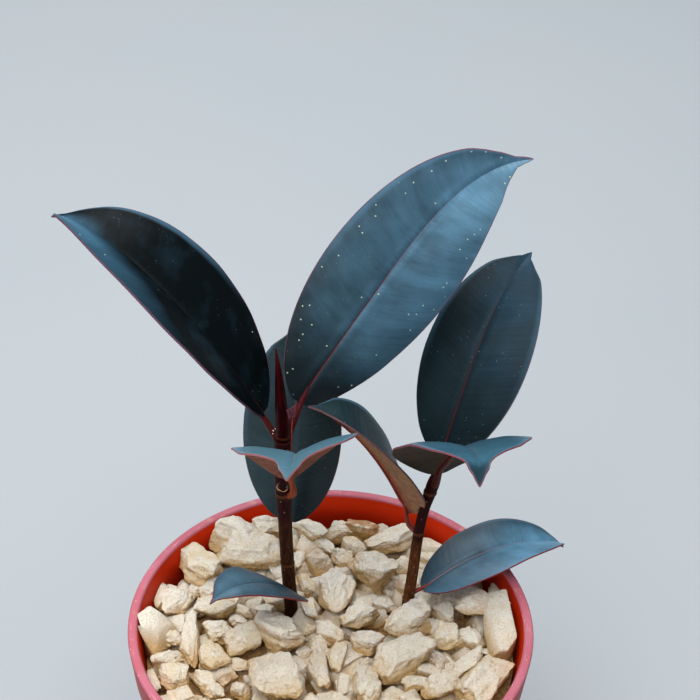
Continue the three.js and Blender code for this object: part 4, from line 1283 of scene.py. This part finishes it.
smallThings = {
    "foot": (-11.8, 11.9, 147.9), "tips": ((-12.3, 11.7, 150.2), (-9.9, 13.2, 151.2)),
    "end": (-10.3, 12.6, 147.6), "flapColours": ((0.055, 0.010, 0.016), (0.17, 0.045, 0.060)),
    "thread": [(-10.9, 12.2, 147.2, 0.16), (-11.0, 11.4, 144, 0.13), (-11.05, 11.1, 140.5, 0.11),
               (-11.07, 11.0, 137.6, 0.09)],
    "threadColours": ((0.14, 0.015, 0.012), (0.30, 0.03, 0.02)),
    "drops": [(-15.6, 12.7, 142.9, 0.17), (-15.7, 12.4, 142.2, 0.14), (-15.1, 12.7, 143.5, 0.13),
              (-11.07, 11.0, 137.5, 0.2)],
    "sapColours": ((0.85, 0.78, 0.72), (0.62, 0.50, 0.46)),
}


def makeFlap():
    sheet, across, along = shapedGrid(10, 8)
    foot, end = np.array(smallThings["foot"]), np.array(smallThings["end"])
    left, right = (np.array(tip) for tip in smallThings["tips"])
    u = (across + 1) / 2
    low = foot + (end - foot) * u[:, None]
    high = left + (right - left) * u[:, None]
    bow = 0.35 * np.sin(math.pi * u) * (1 - 0.5 * along) + 0.05 * np.sin(u * 21)
    shape = low + (high - low) * along[:, None] + bow[:, None] * np.array([0.1, -1, 0.1])
    setPoints(sheet, shape * mm)
    modify(sheet, "SOLIDIFY", thickness=0.18 * mm, offset=0)
    sheet.name = "stipule_flap"
    material = driedScale("dried flap", smallThings["flapColours"])
    finishPiece(sheet, "bud_scale", material=material, angle=50)


def makeThread():
    thread = tube("stipule_thread", smallThings["thread"], 10, 10)
    material = driedScale("dried thread", smallThings["threadColours"])
    finishPiece(thread, "bud_scale", material=material, angle=60)


def makeDrops():
    drops = []
    for x, y, z, radius in smallThings["drops"]:
        drop = newPiece(bpy.ops.mesh.primitive_uv_sphere_add, segments=16, ring_count=10, radius=radius * mm,
                        location=(x * mm, y * mm, z * mm))
        drop.scale = (1, 0.9, 1.1)
        placed(drop)
        drops.append(drop)
    finish = Finish("dried sap")
    cloud = finish.noise(finish.place(), 0.25 * mm, 3)
    finish.base(cloud, *smallThings["sapColours"])
    material = finish.wear(0.45, cloud, 0.05)
    finishPiece(joined("sap_drops", drops), "bud_scale", material=material, angle=60)


def driedScale(name, colours):
    finish = Finish(name)
    x, y, z = finish.split(finish.place())
    fibre = finish.noise(finish.vector(x * 4, y * 4, z * 0.5), 1.2 * mm, 3)
    finish.base(fibre.rise(0.35, 0.65), *colours)
    return finish.wear(0.6, fibre, 0.1)


makeFlap()
makeThread()
makeDrops()


# potting soil keeps its solid and gets a crumbly finish

soilLook = {"grain": 1.6, "crumb": 2.2, "dark": (0.012, 0.007, 0.004), "light": (0.07, 0.042, 0.024)}


def makeSoil():
    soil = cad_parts["potting_soil"]
    finish = Finish("potting soil")
    place = finish.place()
    grain = finish.noise(place, soilLook["grain"] * mm, 6, 0.7)
    crumb = finish.cells(place, soilLook["crumb"] * mm)
    finish.base(grain.rise(0.35, 0.7), soilLook["dark"], soilLook["light"])
    soil.data.materials.clear()
    soil.data.materials.append(finish.wear(0.95, grain * 0.6 + crumb * 0.4, 0.9))


makeSoil()
print("small things and soil are done")
